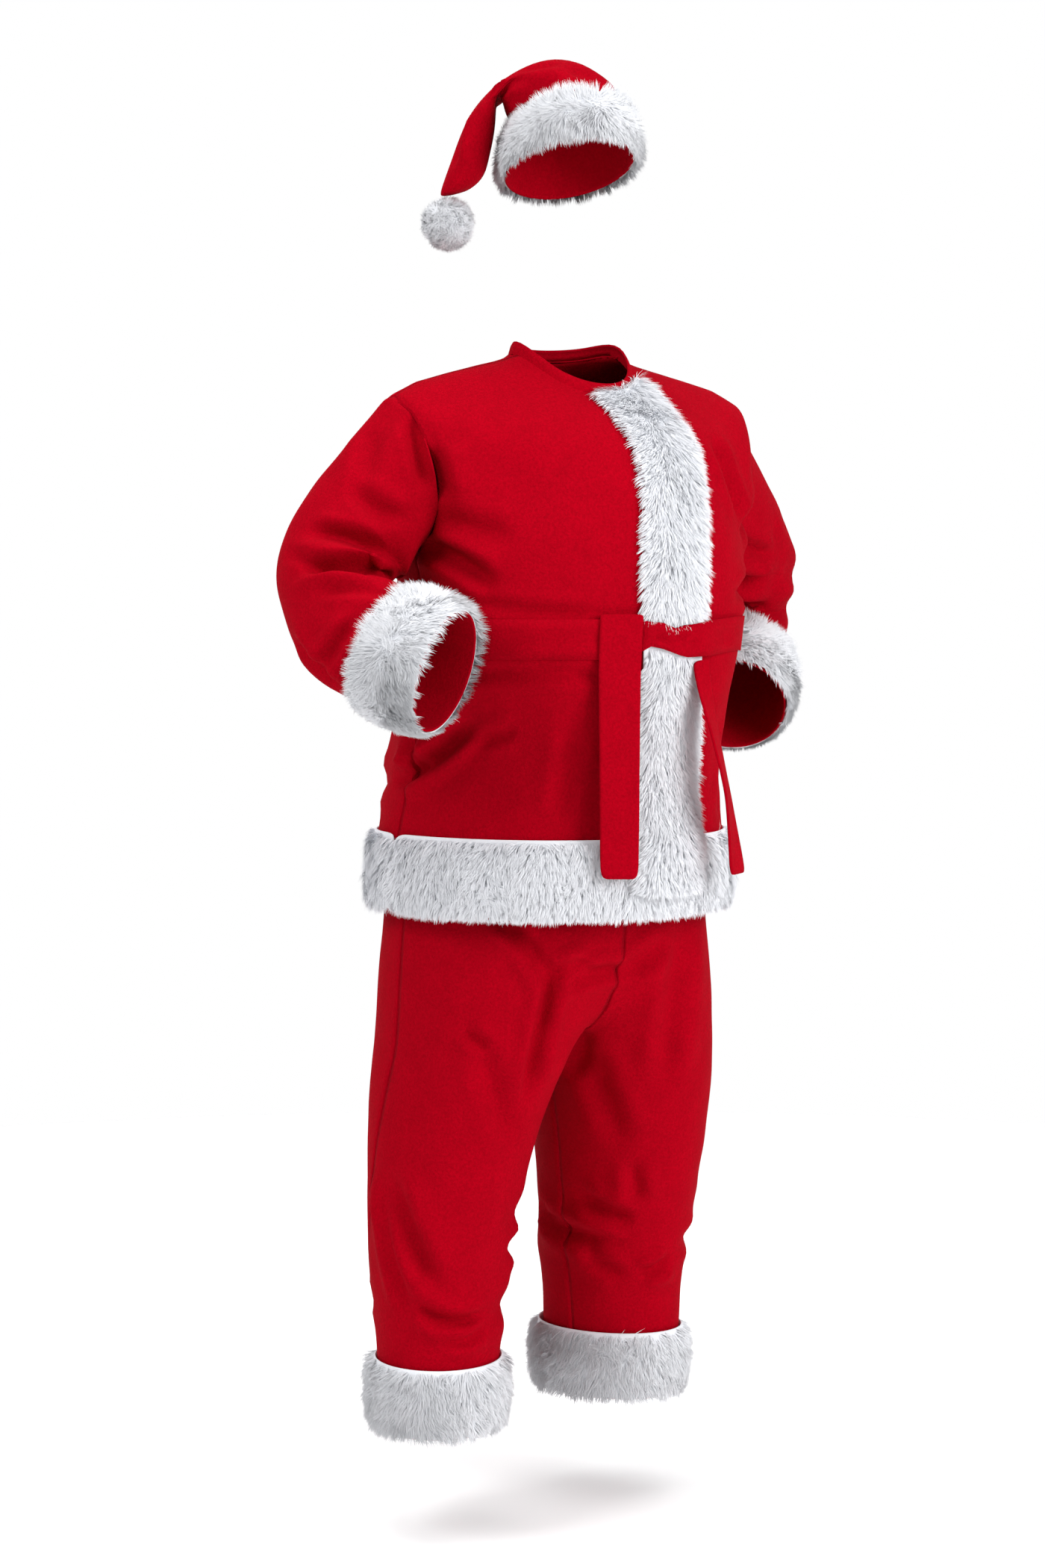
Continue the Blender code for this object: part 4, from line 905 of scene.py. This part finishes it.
def fur_piece(node, count, flow, length=0.018, lean=1.1, spread=0.24, width=0.0009,
              keep=0.62, covered=False, bare_top=False, clipped=False, round_hairs=False):
    """One strip of fur: its dense backing, which replaces the solid, and its loose pile. Clipped
    pile ends a little way below the strip's lower edge."""
    mesh, tree = fur_backing(node, keep)
    backing = dense_pile(f"{node}_backing", mesh)

    def off_cloth(places):
        return np.array([tree.find_nearest(Vector(place))[3] > backing_thick for place in places])

    roots, normals = places_on(mesh, count, off_cloth)
    if bare_top:
        kept = normals[:, 2] < facing_up
        roots, normals = roots[kept], normals[kept]
    if covered:
        kept = not_covered(roots, normals)
        roots, normals = roots[kept], normals[kept]
    # Pile that faces down is shorter, by up to a half, as it lies under the edge
    lengths = length * (1 - 0.5 * np.clip(-normals[:, 2:3], 0, 1))
    if clipped:
        lengths = lengths * room_below(roots)[:, None]
    way = flow(roots) + drift_of(roots, drift_size, drift_strength)
    if bare_top:
        way[:, 2] = np.minimum(way[:, 2], least_down)
    pile = strands(f"{node}_pile", roots - normals * root_depth, normals, lengths, lean, way,
                   spread, width, round_hairs)
    for item in (backing, pile):
        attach(item, "root")
    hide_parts(node)


def combed_down(roots):
    return np.tile([0.0, 0.0, -1.0], (len(roots), 1))


def combed_to_edges(roots, aside=1.1, down=0.35, full_at=0.8):
    """Away from the middle line of a ring, over both of its edges, and down a little."""
    middle = roots - roots.mean(axis=0)
    # The ring's own axis, from every seventh root
    axis = np.linalg.svd(middle[::7], full_matrices=False)[2][2]
    along = middle @ axis
    away = np.clip(along / (np.abs(along).max() * full_at), -1, 1)
    return axis[None, :] * away[:, None] * aside - np.array([0.0, 0.0, down])


def combed_aside(roots, aside=1.6, row_height=0.03, half_band=0.04):
    """Down the front, and out over both edges of the band."""
    way = np.tile([0.0, 0.0, -1.0], (len(roots), 1))
    rows = np.round(roots[:, 2] / row_height)
    for row in np.unique(rows):
        here = rows == row
        middle = (roots[here, 0].min() + roots[here, 0].max()) / 2
        way[here, 0] = np.clip((roots[here, 0] - middle) / half_band, -1, 1) ** 3 * aside
    return way


for part, width, count in (("right", 0.36, 36000), ("back", 0.64, 28000), ("left", 0.32, 24000)):
    fur_piece(f"fur_hem_{part}", count, combed_down, covered=part != "back",
              bare_top=True, clipped=True)
fur_piece("fur_front_band", 38000, combed_aside, covered=True, clipped=True,
          spread=0.18)
for side in ("right", "left"):
    fur_piece(f"fur_cuff_{side}", 20000, combed_to_edges, lean=0.95, width=0.0015,
              round_hairs=True)
    fur_piece(f"fur_leg_{side}", 18000, combed_down, length=0.020, lean=1.0,
              spread=0.32, width=0.0015, bare_top=True, clipped=True, round_hairs=True)
fur_piece("fur_brim", 20000, combed_to_edges, lean=0.95, keep=0.55, width=0.0015,
          round_hairs=True)

# ---------------------------------------------------------------- pompom
# A ball of the same acrylic pile, tied through its middle and trimmed round. It is sewn to
# the hat's end with a few stitches.

pompom_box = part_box("pompom")
pompom_middle = (Vector(pompom_box[0]) + Vector(pompom_box[1])) / 2
core_radius, pompom_count, pompom_length = 0.0265, 12000, 0.013
ball = bmesh.new()
bmesh.ops.create_icosphere(ball, subdivisions=4, radius=core_radius)
bmesh.ops.translate(ball, verts=ball.verts, vec=pompom_middle)
core_mesh = bpy.data.meshes.new("pompom_core")
ball.to_mesh(core_mesh)
ball.free()
for polygon in core_mesh.polygons:
    polygon.use_smooth = True
core = dense_pile("pompom_core", core_mesh)
roots, normals = places_on(core_mesh, pompom_count, lambda places: np.ones(len(places), bool))
pompom_flow = drift_of(roots, 0.02, 1.0) + np.array([0.0, 0.0, -0.3])
pompom_pile = strands(
    "pompom_pile", roots - normals * root_depth, normals, pompom_length, lean=1.0,
    flow=pompom_flow, spread=0.5, width=0.0013, round_hairs=True,
)
for item in (core, pompom_pile):
    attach(item, "root")
    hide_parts("pompom")

# ---------------------------------------------------------------- floor, light and camera
# A pale paper floor under large soft lights. The camera stands to the wearer's right, a little
# above the belt, with a long lens.

floor_radius = 3.2
floor_shape = bmesh.new()
bmesh.ops.create_circle(floor_shape, cap_ends=True, segments=96, radius=floor_radius)
bmesh.ops.translate(floor_shape, verts=floor_shape.verts, vec=floor_point)
floor_mesh = bpy.data.meshes.new("studio_floor")
floor_shape.to_mesh(floor_mesh)
floor_shape.free()
floor = add_object("studio_floor", floor_mesh)
paper, _, shader = new_material("white_paper")
shader.inputs["Base Color"].default_value = srgb("#f2f2f2")
shader.inputs["Roughness"].default_value = 0.9
shader.inputs["Emission Color"].default_value = srgb("#ffffff")
shader.inputs["Emission Strength"].default_value = 0.15
floor_mesh.materials.append(paper)

towards_camera = Vector((math.sin(camera_turn), -math.cos(camera_turn), 0.0))
across_view = Vector((math.cos(camera_turn), math.sin(camera_turn), 0.0))

# A pale room, with a lit white wall behind the suit that ends between 28 and 46 degrees off the
# line of sight
world = bpy.data.worlds.new("studio")
world.use_nodes = True
tree = world.node_tree
way = add_node(tree, "ShaderNodeTexCoord").outputs["Generated"]
facing_wall = add_node(tree, "ShaderNodeVectorMath", [(0, way)], operation="DOT_PRODUCT")
facing_wall.inputs[1].default_value = -towards_camera
wall_share = add_node(
    tree, "ShaderNodeMapRange", [("Value", facing_wall.outputs["Value"])],
    interpolation_type="SMOOTHSTEP", From_Min=0.70, From_Max=0.88,
)
room = add_node(tree, "ShaderNodeMix", [("Factor", wall_share.outputs[0])], data_type="RGBA")
room.inputs["A"].default_value = (0.36, 0.36, 0.37, 1.0)
room.inputs["B"].default_value = (1.0, 1.0, 1.0, 1.0)
tree.links.new(room.outputs["Result"], tree.nodes["Background"].inputs["Color"])
bpy.context.scene.world = world
bpy.context.scene.view_settings.view_transform = "Standard"


def soft_box(name, ahead, across, up, size, power, suit_middle=0.95):
    """A square light that looks at the suit's middle, placed as seen from the camera, in metres
    and watts."""
    light = bpy.data.lights.new(name, "AREA")
    light.shape = "SQUARE"
    light.size = size
    light.energy = power
    item = add_object(name, light)
    item.location = floor_point + towards_camera * ahead + across_view * across + Vector((0, 0, up))
    aim = floor_point + Vector((0, 0, suit_middle)) - item.location
    item.rotation_euler = aim.to_track_quat("-Z", "Y").to_euler()


soft_box("key", 1.5, -1.8, 2.6, 1.2, 38.0)
soft_box("fill", 1.7, 2.0, 1.8, 1.4, 58.0)
soft_box("top", 0.2, 0.0, 4.2, 2.4, 40.0)
ceiling = bpy.data.lights.new("ceiling", "SUN")
ceiling.energy = 1.25
ceiling.angle = math.radians(60)
add_object("ceiling", ceiling)

lens = bpy.data.cameras.new("camera")
lens.lens = 80.0
lens.sensor_width = 36.0
camera_distance, camera_height, aim_height = 4.4, 1.22, 0.93
drop = camera_height - aim_height
camera = add_object("camera", lens)
aim_at = floor_point + Vector((0, 0, aim_height))
camera.location = aim_at + towards_camera * camera_distance + Vector((0, 0, drop))
camera.rotation_euler = (aim_at - camera.location).to_track_quat("-Z", "Y").to_euler()
# The suit stands a little to the right of the picture's middle
middle_column, picture_width, picture_height = 729, 1400, 2100
lens.shift_x = (picture_width / 2 - middle_column) / picture_height
bpy.context.scene.camera = camera
